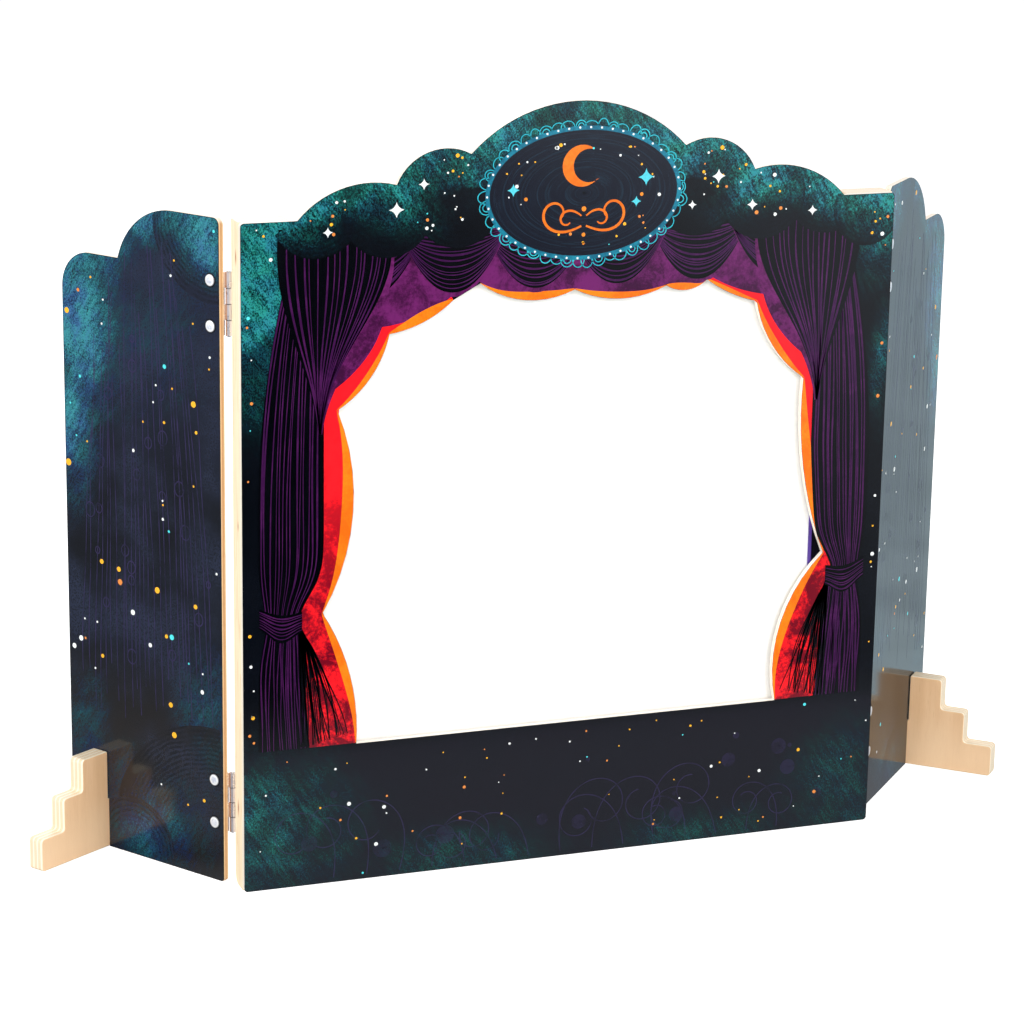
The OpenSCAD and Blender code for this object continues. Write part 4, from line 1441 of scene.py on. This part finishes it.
# Medallion
medallion = {
    "middle": (0.0040, 0.5515),
    "half": (0.0790, 0.0500),
    "band": 0.0029,
    "beads": 46,
    "bead": 0.0009,
    "loops": 46,
    "line": 0.0008,
    "seed": 6,
}
emblem = {
    "moon": 0.0165,
    "moonShift": (-0.002, 0.0215),
    # start, heading, bend, tightening, length and width of the scrolls, which are in pairs about the middle
    "scrolls": (
        ((0.002, -0.0260), -25, 0.6, 5.2, 0.072, 0.0023),
        ((0.002, -0.0180), 40, -0.6, -4.2, 0.034, 0.0019),
    ),
    "drops": ((0.0, -0.0125), (0.0, -0.0330), (0.0485, -0.003), (-0.0485, -0.003), (0.0, -0.0400)),
    "dropSizes": (0.0020, 0.0016, 0.0015, 0.0015, 0.0011),
}


def oval(grow, count=360):
    # evenly spaced points on the oval, grown by that much, with its outward direction
    dense = np.linspace(0, 2 * math.pi, 2001)
    size = np.array(medallion["half"]) + grow
    length = np.concatenate([[0], np.cumsum(np.hypot(*np.diff(directions(dense) * size, axis=0).T))])
    way = directions(np.interp(np.arange(count) / count * length[-1], length, dense))
    outward = way / size
    return way * size + medallion["middle"], outward / np.linalg.norm(outward, axis=-1, keepdims=True)


def discs(places, radii, corners=14, shape=None):
    # round dots, or sparkles where shape gives the reach for each direction
    angle = np.linspace(0, 2 * math.pi, corners, endpoint=False)
    reach = np.ones(corners) if shape is None else shape(angle)
    radii = np.broadcast_to(radii, len(places))[:, None, None]
    return places[:, None] + directions(angle) * reach[:, None] * radii


def medallionFinish():
    # brushed round the middle
    navy = Finish("medallionNavy")
    middle = (medallion["middle"][0], 0, medallion["middle"][1])
    centre = navy.add("VectorMath", {0: navy.place, 1: middle}, operation="SUBTRACT").outputs[0]
    far = navy.apart(navy.add("Mapping", {"Vector": centre, "Scale": (1.0, 0.0, 1.58)}).outputs[0])
    brush = navy.noise(5, 4, vector=navy.join(navy.times(far, 90.0), navy.noise(14, 2)))
    return varnish(navy, navy.mix(navy.ramp(brush, 0.45, 0.75, 0.0, 0.5), paint(17, 21, 34), paint(32, 56, 72)))


def layMedallion():
    middle, width = np.array(medallion["middle"]), medallion["band"]
    rim, outward = oval(0.0)
    disc = middle + (rim - middle) * np.linspace(0.02, 1, 12)[:, None, None]
    printFilm("medallion_ground", disc, 12, medallionFinish(), ring=True)
    band = between(rim - outward * 0.0004, rim + outward * width, 4)
    printFilm("medallion_band", band, 13, inks["band"], ring=True)
    beads = discs(oval(width * 0.55, medallion["beads"])[0], medallion["bead"], 12)
    printDots("medallion_beads", beads, paint(236, 244, 246), 14, inks["dots"])
    layLace()
    layEmblem()


def layLace():
    # loops of uneven width and height on the band's outer line, every third drawn twice
    random = np.random.default_rng(medallion["seed"])
    count = medallion["loops"]
    base, away = oval(medallion["band"] * 0.9, count)
    pitch = float(np.hypot(*(base[1] - base[0])))
    along = np.stack([-away[:, 1], away[:, 0]], -1)[:, None]
    arc = np.linspace(-0.10 * math.pi, 1.10 * math.pi, 24)
    wide = pitch * random.uniform(0.46, 0.62, (count, 1))
    high = random.uniform(0.0038, 0.0068, (count, 1))
    shift = pitch * random.uniform(-0.15, 0.15, (count, 1))
    large, small = (
        base[:, None] + along * (np.cos(arc) * wide * scale + shift)[..., None]
        + away[:, None] * (np.sin(arc) * high * scale)[..., None]
        for scale in (1.0, 0.55)
    )
    lines = ribbon(np.concatenate([large, small[::3]]), medallion["line"])
    printFilm("medallion_lace", lines, 11.5, inks["lace"])


def layEmblem():
    # a crescent between two arcs, scrolls and drops
    middle, size = np.array(medallion["middle"]), emblem["moon"]
    angle = np.radians(np.linspace(62, 318, 60))
    inside = directions(np.linspace(angle[0] + 0.16, angle[-1] - 0.16, 60)) * size * 0.80 + (size * 0.36, 0)
    moon = between(directions(angle) * size, inside, 5) + middle + emblem["moonShift"]
    printFilm("emblem_crescent", moon, 13, inks["amber"])
    for index, (*shape, width) in enumerate(emblem["scrolls"]):
        path = curl(*shape)
        taper = width * (0.45 + 0.55 * np.sin(math.pi * np.linspace(0.12, 0.92, len(path))))[:, None]
        pair = np.stack([path, path * (-1, 1)]) + middle
        printFilm("emblem_scroll_%d" % (index + 1), ribbon(pair, taper), 13 + 0.4 * index, inks["amber"])
    drops = discs(middle + emblem["drops"], emblem["dropSizes"])
    printDots("emblem_drops", drops, paint(244, 140, 40), 14, inks["dots"])


layMedallion()
print("medallion: done")


# Dots and sparkles over the night ground
dots = {
    "seed": 21,
    "tints": (paint(246, 250, 248), paint(255, 186, 44), paint(232, 140, 66), paint(84, 226, 232)),
    "shares": {"front": (0.32, 0.42, 0.18, 0.08), "wing": (0.36, 0.36, 0.10, 0.18)},  # of the tints
    "deep": 0.004,  # from the front board's edge
}
sparkles = {  # across and up, and size
    "front": (
        (-0.150, 0.5450, 0.0062), (-0.128, 0.5640, 0.0044), (0.118, 0.5600, 0.0058), (0.148, 0.5360, 0.0046),
        (-0.205, 0.5300, 0.0040), (0.096, 0.5380, 0.0036), (0.201, 0.5290, 0.0042),
    ),
    "medallion": ((-0.055, 0.556, 0.0050), (0.056, 0.562, 0.0068), (0.048, 0.5430, 0.0042)),
}


def onSky(flat):
    # crest and shoulders above the valance, clear of the medallion, and the outer strips
    x, z = flat[:, 0], flat[:, 1]
    clear = np.hypot(x / 0.097, (z - medallion["middle"][1]) / 0.068) > 1
    free = (z > 0.527) | (np.abs(x) > 0.2655) | ((np.abs(x) > 0.250) & (z > 0.480))
    return (panelDepth(flat) > dots["deep"]) & clear & free


def onApron(flat):
    return (panelDepth(flat) > dots["deep"]) & (flat[:, 1] < 0.110)


def onMedallion(flat):
    out = np.hypot(*((flat - medallion["middle"]) / (0.072, 0.044)).T)
    return (out < 1) & (out > 0.74)


def onWingFace(flat):
    # clear of the bolts and of the foot
    u, z = flat[:, 0], flat[:, 1]
    bolts = (np.abs(np.abs(z - hinge["height"]) - hinge["away"]) < 0.030) & (u < 0.022)
    foot = (np.abs(u - footPly["middle"]) < 0.012) & (z < 0.090)
    return (z < wingTop(u) - 0.005) & ~bolts & ~foot


def scatter(random, count, low, high, keep):
    places = random.uniform(low, high, (count * 14, 2))
    return places[keep(places)][:count]


def sparkle(angle):
    # four points with hollow sides (an astroid)
    return (np.abs(np.cos(angle)) ** (2 / 3) + np.abs(np.sin(angle)) ** (2 / 3)) ** -1.5


def layDots():
    random = np.random.default_rng(dots["seed"])
    tints = np.array(dots["tints"])
    for name, board, layer, count, low, high, keep, scale in (
        ("sky_dots", "front", 14, 105, (-0.272, 0.120), (0.272, 0.622), onSky, 1.0),
        ("apron_dots", "front", 14, 64, (-0.272, 0.003), (0.272, 0.112), onApron, 0.95),
        ("medallion_dots", "front", 14, 34, (-0.080, 0.500), (0.080, 0.602), onMedallion, 0.9),
        ("left_wing_dots", "left", 3, 56, (0.006, 0.006), (0.168, 0.536), onWingFace, 1.6),
        ("right_wing_dots", "right", 3, 56, (0.006, 0.006), (0.168, 0.536), onWingFace, 1.3),
    ):
        places = scatter(random, count, low, high, keep)
        radii = scale * (0.00055 + 0.0013 * random.random(len(places)) ** 2.2)
        shares = dots["shares"]["front" if board == "front" else "wing"]
        chosen = tints[random.choice(len(tints), len(places), p=shares)]
        printDots(name, discs(places, radii, 12), chosen, layer, inks["dots"], board)
    for name, tint in (("front", paint(240, 244, 242)), ("medallion", paint(84, 206, 222))):
        stars = np.array(sparkles[name])
        printDots(name + "_sparkles", discs(stars[:, :2], stars[:, 2], 32, sparkle), tint, 15, inks["dots"])


layDots()
print("dots: done")
